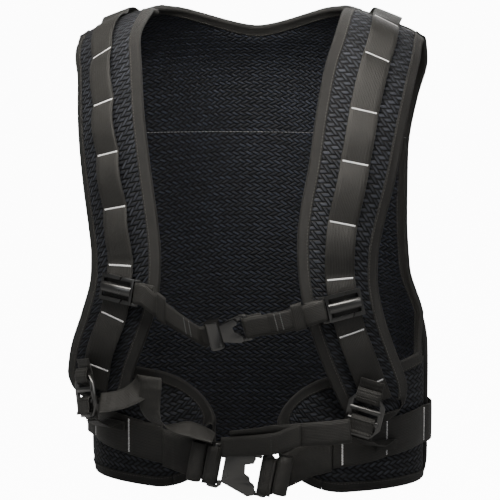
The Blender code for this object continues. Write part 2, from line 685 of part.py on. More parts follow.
def buckle_rear(name, bar_x, bar_radius, rail_y, scale):
    """Rear half: base plate with an open V groove, and the web bar on the wearer's left."""
    near, far, high = -0.0125 * scale, 0.0044 * scale, 0.0002
    base = plate(name, [scaled([(-0.0125, -0.0140), (-0.0010, -0.0205), (0.0044, -0.0205), (0.0044, 0.0205),
                                (-0.0020, 0.0205), (-0.0125, 0.0150)], scale)], high - 0.0038 * scale, high)
    inner_y = (0.0160 * scale, 0.0185 * scale)
    arms = buckle_arms(name, 1, bar_x, bar_radius, rail_y, far - 0.0020, inner_y, -0.0026, high)
    bar = rod(name + "_bar", (bar_x, 0, 0), bar_radius, 2 * rail_y - 0.001)
    groove = plate(name + "_groove", [scaled([(-0.0120, 0.0250), (-0.0107, 0.0080), (-0.0022, -0.0122),
                                              (0.0036, 0.0065), (0.0036, 0.0250)], scale)],
                   -0.0022 * scale - 0.0004, high + 0.001, helper=True)
    return boolean(boolean(base, [*arms, bar]), [groove], "DIFFERENCE")


def web_hood(front, bar_x, rail_y):
    """Rounded hood in front of the front half's web bar, closed by a disc at each end."""
    turns = [math.radians(12 + 138 * k / 9) for k in range(10)]
    outline = [(HOOD_OUTER * math.cos(a), HOOD_OUTER * math.sin(a)) for a in turns]
    outline += [(HOOD_INNER * math.cos(a), HOOD_INNER * math.sin(a)) for a in reversed(turns)]
    hood = plate(front.name + "_hood", [outline], -rail_y + 0.001, rail_y - 0.001, helper=True)
    hood.data.transform(Matrix.Translation((-bar_x, 0, 0)) @ Matrix.Rotation(math.pi / 2, 4, "X"))
    discs = [rod(f"{front.name}_disc_{k}", (-bar_x, way * (rail_y - 0.0006), 0), HOOD_OUTER + 0.0002, 0.0024)
             for k, way in enumerate((-1, 1))]
    return boolean(front, [hood, *discs])


# ---- Assembly -----------------------------------------------------------------------------------


def build_body():
    panel_layer("back_lining", 0, LINING_THICK, "lining")
    panel_layer("back_foam", FOAM_AT, FOAM_THICK, "foam")
    panel_layer("back_frame_sheet", COVER_AT, SHEET_THICK, "sheet")
    panel_layer("back_cover", COVER_AT + SHEET_THICK + GAP, COVER_THICK, "cover")
    for name, side in (("right", -1), ("left", 1)):
        wing_layer(f"{name}_wing_lining", side, 0, LINING_THICK, "lining")
        wing_layer(f"{name}_wing_foam", side, FOAM_AT, FOAM_THICK, "foam")
        wing_layer(f"{name}_wing_cover", side, COVER_AT, COVER_THICK, "lining")
        side_binding(f"{name}_side_binding", side)
    neck_binding()
    hem_binding()
    belt_webbing()
    for k, t in enumerate(BACK_ROW_POSITIONS):
        back_row(f"back_webbing_row_{k + 1}", t)


def build_strap(name, stations, slider_z):
    strap_layer(f"{name}_strap_lining", stations, 0, LINING_THICK, "cover")
    strap_layer(f"{name}_strap_foam", stations, FOAM_AT, FOAM_THICK, "foam")
    strap_layer(f"{name}_strap_cover", stations, COVER_AT, COVER_THICK, "lining")
    strap_binding(f"{name}_strap_binding", stations)
    shoulder_webbing(f"{name}_shoulder_webbing", stations, slider_z)


def build_slider(name, stations, slider_z, bar_side):
    placement = slider_placement(stations, slider_z)
    body = empty_at(f"{name}_slider_travel", placement)
    frame = split_cuts(slider_frame(f"{name}_slider", bar_side))
    helpers = [m.object for m in frame.modifiers]
    attach([frame, *helpers], body, placement)
    bar = placement @ Matrix.Translation((bar_side * SLIDER_BAR_X, 0, 0.0009))
    return body, bar


def build_lock(name, spec, side):
    """Ladder lock on its web loop; the loop stays on the strap, the short web in the lock turns with it."""
    placement = frame_of(Vector(spec[0]), spec[1], spec[2])
    body = empty_at(f"{name}_lock_tilt", placement)
    lock = ladder_lock(f"{name}_ladder_lock")
    helpers = [m.object for m in lock.modifiers]
    attach([lock, *helpers], body, placement)
    r = 0.0038
    path = [(-0.0010, 0.0240), (-r + 0.0006, 0.0160), (-r, 0.0080), *arc_points(r, 180, 360, 7), (r, 0.0080),
            (r - 0.0006, 0.0160), (0.0016, 0.0240)]
    points = [placement @ Vector((0, y, z)) for z, y in path]
    across = [placement.to_3x3() @ Vector((1, 0, 0))] * len(points)
    ribbon(f"{name}_lock_loop", points, across, ADJUSTER_WEB, steps=24)
    r = 0.0040
    centre = -0.0232
    path = [(-r, centre - 0.0190), (-r, centre - 0.0080), *arc_points(r, 180, 0, 7, (0, centre)),
            (r + 0.0006, centre - 0.0080), (r + 0.0022, centre - 0.0130)]
    points = [placement @ Vector((0, y, z)) for z, y in path]
    across = [placement.to_3x3() @ Vector((1, 0, 0))] * len(points)
    web = ribbon(f"{name}_lock_web", points, across, ADJUSTER_WEB, steps=22)
    attach([web], body)
    low = placement @ Vector((0, centre - 0.0200, -r))
    angle = side * math.radians(128)
    anchor = offset_point(belt_point, angle, low.z - 0.010, PAD_THICK + 2 * GAP + 1.5 * WEB_THICK + 0.0016)
    between = low.lerp(anchor, 0.5) + Vector((0, 0, -0.006))
    first = placement.to_3x3() @ Vector((1, 0, 0))
    last = offset_point(belt_point, angle + side * 0.05, 0.09, 0)
    last = (last - offset_point(belt_point, angle - side * 0.05, 0.09, 0)).normalized()
    last = last if last.dot(first) > 0 else -last
    ribbon(f"{name}_adjuster_web", [low, between, anchor, anchor + Vector((0, 0, -0.010))],
           [first, first.lerp(last, 0.5), last, last], ADJUSTER_WEB, steps=9)
    return body


def buckle_placement(spec):
    middle, slope, lean = spec
    turned = Matrix.Rotation(math.radians(-slope), 4, "Y") @ Matrix.Rotation(math.radians(lean), 4, "X")
    upright = Matrix.Rotation(math.pi / 2, 4, "X")
    return Matrix.Translation(middle) @ turned @ upright


def build_buckle(prefix, spec, bar_x, bar_radius, rail_y, scale, parents, hooded=False):
    """Both halves of a magnetic hook buckle, each turning on its web bar."""
    placement = buckle_placement(spec)
    for part, make, at, parent in ((f"{prefix}_front_half", buckle_front, -bar_x, parents[0]),
                                   (f"{prefix}_rear_half", buckle_rear, bar_x, parents[1])):
        bar = placement @ Matrix.Translation((at, 0, 0))
        body = empty_at(f"{part}_swing", bar)
        obj = make(part, bar_x, bar_radius, rail_y, scale)
        if hooded and make is buckle_front:
            web_hood(obj, bar_x, rail_y)
        helpers = [m.object for m in obj.modifiers]
        attach([obj, *helpers], body, placement)
        if parent:
            attach([body], parent)


def build_chest(sliders):
    """Sternum strap: two webs from the sliders to the two halves of the chest buckle."""
    placement = buckle_placement(CHEST_BUCKLE)
    swings = []
    ends = (("right", sliders[0], -CHEST_BAR_X, 1), ("left", sliders[1], CHEST_BAR_X, -1))
    for name, (slider, bar), at, side in ends:
        swing = empty_at(f"{name}_sternum_swing", bar)
        attach([swing], slider)
        near = placement @ Matrix.Translation((at, 0, 0))
        r = SLIDER_BAR_RADIUS + LOOP_CLEARANCE + WEB_THICK / 2
        rows = []
        for x, z in [(0.016, -r + 0.0004), (0.008, -r), *arc_points(r, 270, 90, 7), (0.008, r)]:
            rows.append((bar @ Vector((side * x, 0, z)), bar.to_3x3() @ Vector((0, 1, 0))))
        r = CHEST_BAR_RADIUS + LOOP_CLEARANCE + WEB_THICK / 2
        if name == "right":
            path = [(-0.014, -r), (-0.007, -r), *arc_points(r, -90, 120, 8)]
        else:
            path = [(-0.012, r), (-0.006, r), *arc_points(r, 90, -90, 7), (-0.008, -r), (-0.016, -r + 0.0004)]
        far = [(near @ Vector((side * x, 0, z)), near.to_3x3() @ Vector((0, 1, 0))) for x, z in path]
        start, end = rows[-1], far[0]
        sag = Vector((0, 0, -0.002))
        for share in (0.2, 0.4, 0.6, 0.8):
            between = start[0].lerp(end[0], share) + sag * math.sin(math.pi * share)
            rows.append((between, start[1].lerp(end[1], share)))
        rows += far
        points, across = [p for p, _ in rows], [a for _, a in rows]
        web = ribbon(f"{name}_sternum_web", points, across, STERNUM_WEB, steps=2 * len(rows))
        attach([web], swing)
        swings.append(swing)
    build_buckle(
        "chest_buckle", CHEST_BUCKLE, CHEST_BAR_X, CHEST_BAR_RADIUS, CHEST_RAIL_Y, 0.56, swings, hooded=True
    )


def build_belt_ends():
    """Belt ends: web sewn on the wing, looped round the buckle's bar, the spare length rolled up in front."""
    placement = buckle_placement(BELT_BUCKLE)
    thick = 0.0020
    r = BELT_BAR_RADIUS + LOOP_CLEARANCE + thick / 2
    up = placement.to_3x3() @ Vector((0, 1, 0))
    for name, side, rise in (("right", -1, 0.001), ("left", 1, 0.005)):
        bar_x = side * BELT_BAR_X
        rows = []
        for k, (degrees, lift) in enumerate(((150.5, 0.0008), (154.5, 0.0012), (158, 0.0020))):
            angle = side * math.radians(degrees)
            z = belt_web_height(angle) - 0.002 - 0.002 * k
            out = PAD_THICK + 2 * GAP + WEB_THICK + thick / 2 + lift
            rows.append((offset_point(belt_point, angle, z, out), Vector((0, 0, 1))))
        path = [(0.0095, -r), (0.0045, -r), *arc_points(r, 270, 90, 9), (0.0060, r + 0.0003),
                (0.0085, r + 0.0010)]
        rows += [(placement @ Vector((bar_x + side * x, 0, z)), up) for x, z in path]
        points, across = [p for p, _ in rows], [a for _, a in rows]
        ribbon(f"{name}_belt_end_web", points, across, BELT_WEB, steps=34, thickness=thick)
        roll = rod(f"{name}_belt_web_roll", (bar_x + side * 0.0180, rise, 0.0052), 0.0086, BELT_WEB + 0.002,
                   squash=0.80, helper=False, material="webbing")
        roll.matrix_world = placement
    build_buckle("belt_buckle", BELT_BUCKLE, BELT_BAR_X, BELT_BAR_RADIUS, BELT_RAIL_Y, 1.0, (None, None))


def build_tail(name, rows):
    points, across = [Vector(p) for p, _ in rows], [Vector(a).normalized() for _, a in rows]
    ribbon(name, points, across, ADJUSTER_WEB, steps=4 * (len(rows) - 1))


build_body()
build_strap("right", RIGHT_STRAP, RIGHT_SLIDER_Z)
build_strap("left", LEFT_STRAP, LEFT_SLIDER_Z)
build_chest([
    build_slider("right", RIGHT_STRAP, RIGHT_SLIDER_Z, 1),
    build_slider("left", LEFT_STRAP, LEFT_SLIDER_Z, -1),
])
build_lock("right", RIGHT_LOCK, -1)
build_lock("left", LEFT_LOCK, 1)
build_belt_ends()
build_tail("right_web_tail", RIGHT_TAIL)
build_tail("left_web_tail", LEFT_TAIL)

for made_object in [*VEST.objects, *CUTTERS.objects]:
    if made_object.parent is None:
        made_object.matrix_world = Matrix.Translation(TO_MIDDLE) @ made_object.matrix_world
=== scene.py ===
"""Looks of the padded harness vest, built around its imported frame.

Units are metres. +Z is up, -Y is the wearer's front, +X is the wearer's left.
The surfaces and routes are the frame's own: this file can't read the CAD source, so it repeats their points.
"""

import math

import bmesh
import bpy
import numpy as np
from mathutils import Matrix, Vector


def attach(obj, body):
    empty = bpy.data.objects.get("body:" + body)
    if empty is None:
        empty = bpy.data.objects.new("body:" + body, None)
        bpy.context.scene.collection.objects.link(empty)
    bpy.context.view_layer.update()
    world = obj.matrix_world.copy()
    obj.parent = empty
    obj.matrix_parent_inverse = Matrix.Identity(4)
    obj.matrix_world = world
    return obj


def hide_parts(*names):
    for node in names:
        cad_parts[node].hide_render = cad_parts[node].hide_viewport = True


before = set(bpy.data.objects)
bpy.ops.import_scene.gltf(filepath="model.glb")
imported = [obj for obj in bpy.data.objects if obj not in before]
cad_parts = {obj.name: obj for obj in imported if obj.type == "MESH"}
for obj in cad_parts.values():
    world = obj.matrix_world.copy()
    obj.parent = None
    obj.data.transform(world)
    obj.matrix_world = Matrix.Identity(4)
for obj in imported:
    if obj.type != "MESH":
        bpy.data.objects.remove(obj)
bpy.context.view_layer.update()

# ---- Sizes ----------------------------------------------------------------------------------------

TO_MIDDLE = Vector((-0.0034, 0.0144, 0))     # the frame's last move
FRONT = Vector((0, -1, 0))
PAD_THICK = 0.0096
BACK_THICK = 0.0112
SHEET_GAP = 0.0004

TORSO_HALF_WIDTH, TORSO_HALF_DEPTH = 0.169, 0.092
SHOULDER_HALF_WIDTH = 0.190
WAIST_SHIFT = 0.009
WAIST_TOP, CHEST_BOTTOM = 0.14, 0.28
PAD_BOTTOM = 0.0108
SEAM_GAP = 0.0012
SEAM_ANGLE = math.radians(95)
ARMHOLE_ANGLE = math.radians(63)
SHOULDER_ANGLE = math.radians(64.5)
NECK_ANGLE = math.radians(33.5)
NECK_SHARE = 0.55
NECKLINE_LOW = 0.805
SHOULDER_SLOPE = 0.38
NECK_HALF_WIDTH = 0.098
WING_FRONT_GAP = 0.040
WING_TOP_SIDE, WING_TOP_FRONT = 0.128, 0.114
WING_CORNER = 0.048
WING_TAPE_END = 0.25

EDGE_OUT = 0.0080            # the sewn pads run this far past their foam, under the edge tape
ARMHOLE_MARGIN = 10 * EDGE_OUT                   # the same margin as an angle, at the armholes
NECK_MARGIN, HEM_MARGIN = 0.0135, 0.0125         # and as shares of the profile
HEM_CLEARANCE = 0.0012       # keeps the wings' hem tape off the floor
EDGE_HALF = 0.0020           # half thickness of a pad at its taped edge
EDGE_RAMP = 0.0140           # distance over which a pad swells from its edge to its full thickness
TAPE_WIDTH, TAPE_THICK, TAPE_LIFT = 0.0088, 0.0008, 0.00015

SHOULDER_WEB, BELT_WEB, STERNUM_WEB, ADJUSTER_WEB = 0.030, 0.040, 0.022, 0.025
WEB_THICK = 0.0015
BELT_WEB_Z_SIDE, BELT_WEB_Z_FRONT = 0.063, 0.047
THREAD_LIFT = 0.0001         # stitches lie this far off the cloth
SLIDER_LIFT, SLIDER_SPAN = 0.0052, 0.030
SLIDER_BAR_X, SLIDER_BAR_RADIUS = 0.0225, 0.0018
BELT_BAR_X, BELT_BAR_RADIUS = 0.0270, 0.0040
CHEST_BAR_X, CHEST_BAR_RADIUS = 0.0170, 0.0022
LOOP_CLEARANCE = 0.0006
TACK_SPACING = 0.057         # between the bar tacks of the daisy chains
BULGE = 0.0042               # how far the daisy chain stands off between two bar tacks
LINING_SEAM_Z = 0.358        # stitched line across the lining
SEAM_BAND = 0.018            # width of the bound side seams
SHOULDER_SEAM = 0.068        # width of the cloth that joins a strap to the back panel

BACK_PROFILE = [(0.092, PAD_BOTTOM), (0.090, 0.065), (0.087, 0.125), (0.087, 0.185), (0.091, 0.250),
                (0.096, 0.315), (0.096, 0.375), (0.086, 0.427), (0.062, 0.463), (0.034, 0.484),
                (0.011, 0.489)]

# Shoulder straps, inner face: (x, y, z, half width, yaw of the outer face in degrees), top to bottom.
LEFT_STRAP = [(0.1385, 0.003, 0.4735, 0.0325, 20), (0.1375, -0.014, 0.4695, 0.0335, 18),
              (0.1350, -0.036, 0.4530, 0.0345, 15), (0.1285, -0.060, 0.4230, 0.0350, 13),
              (0.1215, -0.081, 0.3780, 0.0340, 12), (0.1155, -0.094, 0.3350, 0.0325, 12),
              (0.1060, -0.103, 0.2870, 0.0310, 13), (0.1025, -0.107, 0.2570, 0.0295, 14),
              (0.1040, -0.108, 0.2180, 0.0275, 15), (0.1125, -0.106, 0.1810, 0.0260, 15),
              (0.1225, -0.100, 0.1500, 0.0255, 15), (0.1355, -0.091, 0.1150, 0.0245, 15),
              (0.1450, -0.084, 0.0870, 0.0225, 15)]
RIGHT_STRAP = [(-0.1385, 0.003, 0.4735, 0.0325, -22), (-0.1400, -0.014, 0.4695, 0.0335, -25),
               (-0.1410, -0.036, 0.4530, 0.0345, -28), (-0.1365, -0.059, 0.4215, 0.0345, -30),
               (-0.1310, -0.080, 0.3765, 0.0340, -30), (-0.1235, -0.093, 0.3270, 0.0325, -27),
               (-0.1145, -0.102, 0.2700, 0.0310, -24), (-0.1120, -0.106, 0.2415, 0.0295, -21),
               (-0.1145, -0.107, 0.2090, 0.0275, -17), (-0.1260, -0.104, 0.1730, 0.0260, -14),
               (-0.1380, -0.097, 0.1420, 0.0255, -14), (-0.1435, -0.092, 0.1190, 0.0245, -14),
               (-0.1480, -0.088, 0.0980, 0.0225, -14)]
LEFT_SLIDER_Z, RIGHT_SLIDER_Z = 0.2025, 0.2140

# Heights of the bar tacks down the front of each strap.
LEFT_TACKS = [0.446, 0.394, 0.342, 0.2836, 0.2275, 0.1737, 0.1193]
RIGHT_TACKS = [0.448, 0.3995, 0.3485, 0.295, 0.2375, 0.1854, 0.1307]

BACK_WEB_ROUTE = [(46.5, 0.985), (44.5, 0.93), (41, 0.86), (35, 0.76), (30, 0.62), (27, 0.45), (26, 0.30),
                  (26, 0.175)]
BACK_ROW_POSITIONS = [0.28, 0.41, 0.54, 0.67]
BACK_ROW_ANGLE = 20.0
BACK_ROW_WEB = 0.025

# Loose ends of the adjusting webs: (x, y, z) of the middle and the direction across the web.
RIGHT_TAIL = [
    ((-0.139, -0.119, 0.096), (0.0, -0.7, -0.7)), ((-0.125, -0.119, 0.098), (0.0, -0.7, -0.7)),
    ((-0.110, -0.118, 0.103), (0.2, -0.6, -0.7)), ((-0.096, -0.117, 0.112), (0.6, -0.4, -0.6)),
    ((-0.089, -0.118, 0.122), (0.9, -0.2, -0.3)), ((-0.086, -0.122, 0.124), (1.0, -0.2, 0.0)),
    ((-0.085, -0.124, 0.114), (0.9, -0.3, 0.0)), ((-0.086, -0.124, 0.100), (0.9, -0.3, 0.1)),
    ((-0.084, -0.123, 0.087), (0.8, -0.6, 0.3)), ((-0.076, -0.121, 0.077), (0.3, -0.9, 0.3)),
    ((-0.063, -0.119, 0.073), (0.0, -1.0, -0.1)), ((-0.050, -0.118, 0.072), (0.0, -0.9, -0.4)),
    ((-0.036, -0.116, 0.068), (0.0, -0.9, -0.4)), ((-0.022, -0.114, 0.062), (0.0, -1.0, -0.2)),
]
LEFT_TAIL = [
    ((0.118, -0.123, 0.076), (-0.1, 0.0, 1.0)), ((0.100, -0.123, 0.073), (0.0, 0.0, 1.0)),
    ((0.080, -0.122, 0.071), (0.0, -0.1, 1.0)), ((0.060, -0.121, 0.069), (0.0, -0.2, 1.0)),
    ((0.040, -0.120, 0.068), (0.0, -0.4, 0.9)), ((0.020, -0.120, 0.066), (0.0, -0.6, 0.8)),
    ((-0.004, -0.120, 0.064), (0.0, -0.7, 0.7)),
]
LEFT_LOCK = ((0.1345, -0.1130, 0.1060), (0.945, -0.150, -0.230), (-0.255, -0.020, 0.965))
RIGHT_LOCK = ((-0.1560, -0.1130, 0.1200), (0.640, -0.740, 0.210), (-0.130, 0.150, 0.980))
BELT_BUCKLE = ((0.0037, -0.1090, 0.0288), -10.4, 0.0)
CHEST_BUCKLE = ((-0.0022, -0.1290, 0.1752), 14.0, 10.0)

# ---- Helpers --------------------------------------------------------------------------------------


def smoothstep(value, low, high):
    t = min(1.0, max(0.0, (value - low) / (high - low)))
    return t * t * (3 - 2 * t)


def spline_at(points, t):
    """Catmull-Rom curve through equally spaced points. It runs on a little past both ends."""
    spans = len(points) - 1
    at = t * spans
    i = min(max(int(at), 0), spans - 1)
    f = at - i
    before = points[i - 1] if i > 0 else tuple(2 * a - b for a, b in zip(points[0], points[1]))
    after = points[i + 2] if i + 2 <= spans else tuple(2 * a - b for a, b in zip(points[-1], points[-2]))
    return tuple(
        0.5 * (2 * b + (c - a) * f + (2 * a - 5 * b + 4 * c - d) * f * f + (3 * b - a - 3 * c + d) * f ** 3)
        for a, b, c, d in zip(before, points[i], points[i + 1], after)
    )


def frame_of(origin, x_axis, y_hint):
    x = Vector(x_axis).normalized()
    z = x.cross(Vector(y_hint)).normalized()
    y = z.cross(x)
    return Matrix.Translation(origin) @ Matrix((x, y, z)).transposed().to_4x4()


def bisect(is_low):
    """The share from 0 to 1 up to which is_low holds."""
    low, high = 0.0, 1.0
    for _ in range(40):
        middle = (low + high) / 2
        if is_low(middle):
            low = middle
        else:
            high = middle
    return low


def toward(vector, way):
    """The vector, turned round if it points against way."""
    return vector if vector.dot(way) > 0 else -vector


def heading(rows, k):
    """Way along rows of (middle, ...) at one of them."""
    return rows[min(k + 1, len(rows) - 1)][0] - rows[max(k - 1, 0)][0]


def measured(points):
    """The points as an array, and how far along their line each one lies."""
    places = np.array([list(p) for p in points])
    steps = np.linalg.norm(np.diff(places, axis=0), axis=1)
    return places, np.concatenate([[0], np.cumsum(steps)])


def read_at(distance, arc, table):
    return Vector(np.interp(distance, arc, table[:, k]) for k in range(3))


def arc_points(radius, start, stop, count, middle=(0, 0)):
    steps = [math.radians(start + (stop - start) * k / (count - 1)) for k in range(count)]
    return [(middle[0] + radius * math.cos(a), middle[1] + radius * math.sin(a)) for a in steps]


def link(obj):
    bpy.context.scene.collection.objects.link(obj)


def new_object(name, verts, faces, loop_uvs, material):
    """A mesh from points in the CAD source's axes, moved to the frame's, with cloth coordinates in metres."""
    mesh = bpy.data.meshes.new(name)
    mesh.from_pydata([Vector(point) + TO_MIDDLE for point in verts], [], faces)
    layer = mesh.uv_layers.new(name="cloth")
    layer.data.foreach_set("uv", [c for face in loop_uvs for uv in face for c in uv])
    mesh.validate()
    mesh.shade_smooth()
    mesh.materials.append(material)
    obj = bpy.data.objects.new(name, mesh)
    link(obj)
    return obj


def tube(name, rings, uvs, material):
    """A closed tube through rings of points, with its two end faces and each corner's cloth coordinates."""
    rows, columns = len(rings), len(rings[0])
    faces, loops = [], []
    for r in range(rows - 1):
        for c in range(columns):
            d = (c + 1) % columns
            faces.append((r * columns + c, r * columns + d, (r + 1) * columns + d, (r + 1) * columns + c))
            loops.append((uvs[r][c], uvs[r][c + 1], uvs[r + 1][c + 1], uvs[r + 1][c]))
    faces.append(tuple(reversed(range(columns))))
    loops.append(tuple(uvs[0][c] for c in reversed(range(columns))))
    last = (rows - 1) * columns
    faces.append(tuple(last + c for c in range(columns)))
    loops.append(tuple(uvs[-1][c] for c in range(columns)))
    return face_outward(new_object(name, [tuple(p) for ring in rings for p in ring], faces, loops, material))


def face_outward(obj):
    made = bmesh.new()
    made.from_mesh(obj.data)
    bmesh.ops.recalc_face_normals(made, faces=made.faces)
    made.to_mesh(obj.data)
    made.free()
    return obj


def finish_piece(obj, body, slot, *nodes):
    """The piece rides on its body and stands for its CAD nodes; the slot argument is not used."""
    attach(obj, body)
    if nodes:
        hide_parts(*nodes)
    return obj


# ---- Materials ------------------------------------------------------------------------------------


class Nodes:
    """Builds one material's node tree."""

    def __init__(self, name, **settings):
        self.material = bpy.data.materials.new(name)
        self.material.use_nodes = True
        self.tree = self.material.node_tree
        self.shader = self.tree.nodes["Principled BSDF"]
        for key, value in settings.items():
            self.shader.inputs[key.replace("_", " ")].default_value = value

    def node(self, kind, **settings):
        made = self.tree.nodes.new("ShaderNode" + kind)
        for key, value in settings.items():
            setattr(made, key, value)
        return made

    def put(self, socket, value):
        if isinstance(value, bpy.types.NodeSocket):
            self.tree.links.new(value, socket)
        else:
            socket.default_value = value

    def math(self, operation, *values):
        made = self.node("Math", operation=operation)
        for socket, value in zip(made.inputs, values):
            self.put(socket, value)
        return made.outputs[0]

    def plus(self, a, b):
        return self.math("ADD", a, b)

    def minus(self, a, b):
        return self.math("SUBTRACT", a, b)

    def times(self, a, b):
        return self.math("MULTIPLY", a, b)

    def scaled(self, value, by, plus):
        return self.math("MULTIPLY_ADD", value, by, plus)

    def mix(self, share, low, high):
        made = self.node("Mix", data_type="RGBA")
        self.put(made.inputs["Factor"], share)
        self.put(made.inputs["A"], low)
        self.put(made.inputs["B"], high)
        return made.outputs["Result"]

    def colour(self, share, dark, light):
        self.put(self.shader.inputs["Base Color"], self.mix(share, (*dark, 1), (*light, 1)))

    def relief(self, normal):
        self.put(self.shader.inputs["Normal"], normal)

    def cloth(self):
        """The two coordinates along the cloth, in metres."""
        split = self.node("SeparateXYZ")
        self.put(split.inputs[0], self.node("UVMap", uv_map="cloth").outputs[0])
        return split.outputs[0], split.outputs[1]

    def noise(self, scale, detail=3.0):
        made = self.node("TexNoise")
        made.inputs["Scale"].default_value = scale
        made.inputs["Detail"].default_value = detail
        self.put(made.inputs["Vector"], self.node("TexCoord").outputs["Object"])
        return made.outputs["Fac"]

    def bump(self, height, distance, strength=1.0, under=None):
        made = self.node("Bump")
        made.inputs["Strength"].default_value = strength
        made.inputs["Distance"].default_value = distance
        self.put(made.inputs["Height"], height)
        if under:
            self.put(made.inputs["Normal"], under)
        return made.outputs[0]

    def wave(self, value, period):
        """From 0 to 1 and back once in each period."""
        turned = self.math("SINE", self.math("MULTIPLY", value, math.pi / period))
        return self.math("ABSOLUTE", turned)


def mesh_cloth(name, run, rise, dark, light):
    """Spacer mesh woven in a flat herringbone of short bricks. A brick's step goes run along, rise up. Its
    colour carries painted shade in the gaps between the bricks, and painted sheen that leaves the level
    bricks darker than the upright ones.
    """
    n = Nodes(name, Roughness=0.58, Sheen_Weight=0.015, Sheen_Roughness=0.45, Specular_IOR_Level=0.17)
    u, v = n.cloth()
    along_u, along_v = n.math("DIVIDE", u, 2 * run), n.math("DIVIDE", v, 2 * rise)
    p, q = n.plus(along_u, along_v), n.minus(along_u, along_v)
    i, j = n.math("FLOOR", p), n.math("FLOOR", q)
    fp, fq = n.minus(p, i), n.minus(q, j)
    phase = n.math("FLOORED_MODULO", n.minus(i, j), 4.0)
    level = n.math("LESS_THAN", phase, 1.5)
    upright = n.minus(1.0, level)
    along_level = n.plus(fp, n.math("GREATER_THAN", phase, 0.5))
    along_upright = n.plus(fq, n.math("LESS_THAN", phase, 2.5))
    along = n.plus(n.times(level, along_level), n.times(upright, along_upright))
    across = n.plus(n.times(level, fq), n.times(upright, fp))
    end = n.math("POWER", n.math("ABSOLUTE", n.minus(along, 1.0)), 5.0)
    flank = n.math("POWER", n.math("ABSOLUTE", n.scaled(across, 2.0, -1.0)), 2.6)
    pillow = n.times(n.minus(1.0, end), n.minus(1.0, flank))
    yarn_height_and_gap_shade = n.times(pillow, n.scaled(n.wave(along, 1 / 5), 0.14, 0.86))
    patches, fuzz = n.noise(34.0), n.noise(2600.0, 2.0)
    one_brick = n.node("TexWhiteNoise", noise_dimensions="2D")
    corner = n.node("CombineXYZ")
    second_level = n.times(level, n.math("GREATER_THAN", phase, 0.5))
    second_upright = n.times(upright, n.math("LESS_THAN", phase, 2.5))
    n.put(corner.inputs[0], n.minus(i, second_level))
    n.put(corner.inputs[1], n.minus(j, second_upright))
    n.put(one_brick.inputs["Vector"], corner.outputs[0])
    tone = n.scaled(one_brick.outputs["Value"], 0.5, 0.7)
    # Colour from the weave and each brick's random tone, with painted shade: a brick darkens towards its ends
    # and edges, as shade in the gaps between bricks.
    shade = n.times(n.math("POWER", yarn_height_and_gap_shade, 2.0), n.scaled(patches, 0.9, 0.5))
    # Painted sheen: the level bricks are painted darker than the upright ones, as their yarns catch the light
    # differently.
    shade = n.times(n.times(shade, tone), n.scaled(level, -0.35, 1.05))
    n.colour(shade, dark, light)
    n.relief(n.bump(fuzz, 0.0002, 0.35, n.bump(yarn_height_and_gap_shade, 0.0009)))
    return n.material


def web_cloth(name, dark, light):
    """Heavy nylon webbing: lengthwise columns of slanted picks, worn a little paler in patches."""
    n = Nodes(name, Roughness=0.52, Sheen_Weight=0.05, Sheen_Roughness=0.40, Specular_IOR_Level=0.34)
    rib = 0.0016
    u, v = n.cloth()
    column = n.math("FLOORED_MODULO", n.math("FLOOR", n.math("DIVIDE", u, rib)), 2.0)
    slant = n.times(n.scaled(column, 2.0, -1.0), u)
    picks = n.wave(n.plus(v, n.times(slant, 0.8)), 0.0011)
    columns = n.wave(u, rib)
    weave = n.times(n.math("POWER", columns, 0.5), n.scaled(picks, 0.5, 0.5))
    patches = n.noise(55.0, 4.0)
    worn = n.scaled(patches, 0.9, 0.45)
    shade = n.times(n.scaled(weave, 0.55, 0.45), worn)
    n.colour(shade, dark, light)
    n.relief(n.bump(n.noise(3000.0, 2.0), 0.0002, 0.3, n.bump(weave, 0.0003)))
    return n.material


def tape_cloth(name, dark, light):
    """Grosgrain edge tape: fine ribs straight across it."""
    n = Nodes(name, Roughness=0.62, Sheen_Weight=0.04, Sheen_Roughness=0.45, Specular_IOR_Level=0.28)
    _, v = n.cloth()
    ribs = n.wave(v, 0.00085)
    patches = n.noise(60.0, 4.0)
    worn = n.scaled(patches, 0.8, 0.5)
    shade = n.times(n.scaled(ribs, 0.4, 0.6), worn)
    n.colour(shade, dark, light)
    n.relief(n.bump(n.noise(2400.0, 2.0), 0.0002, 0.3, n.bump(ribs, 0.0003)))
    return n.material


def pack_cloth(name, dark, light):
    """Plain-woven pack cloth with a slight slub."""
    n = Nodes(name, Roughness=0.70, Sheen_Weight=0.04, Sheen_Roughness=0.5, Specular_IOR_Level=0.25)
    u, v = n.cloth()
    warp, weft = n.wave(u, 0.0009), n.wave(v, 0.0009)
    weave = n.math("MAXIMUM", n.times(warp, 0.9), weft)
    slub = n.noise(320.0, 3.0)
    shade = n.times(weave, n.scaled(slub, 0.8, 0.5))
    n.colour(shade, dark, light)
    n.relief(n.bump(weave, 0.00025))
    return n.material


def moulded_plastic(name, colour, roughness, gloss=0.5):
    """Acetal with a faint moulded grain, rubbed a little smoother and paler in patches."""
    n = Nodes(name, Specular_IOR_Level=gloss, Coat_Weight=0.35, Coat_Roughness=0.16)
    rubbed = n.noise(70.0, 4.0)
    pale = tuple(1.7 * c + 0.004 for c in colour)
    n.colour(rubbed, colour, pale)
    n.put(n.shader.inputs["Roughness"], n.scaled(rubbed, 0.16, roughness - 0.08))
    n.relief(n.bump(n.noise(1400.0, 2.0), 0.0001, 0.25))
    return n.material


def thread(name, dark, light):
    n = Nodes(name, Roughness=0.55, Sheen_Weight=0.2, Sheen_Roughness=0.4)
    twist = n.noise(1800.0, 2.0)
    n.colour(twist, dark, light)
    n.relief(n.bump(twist, 0.0002, 0.4))
    return n.material


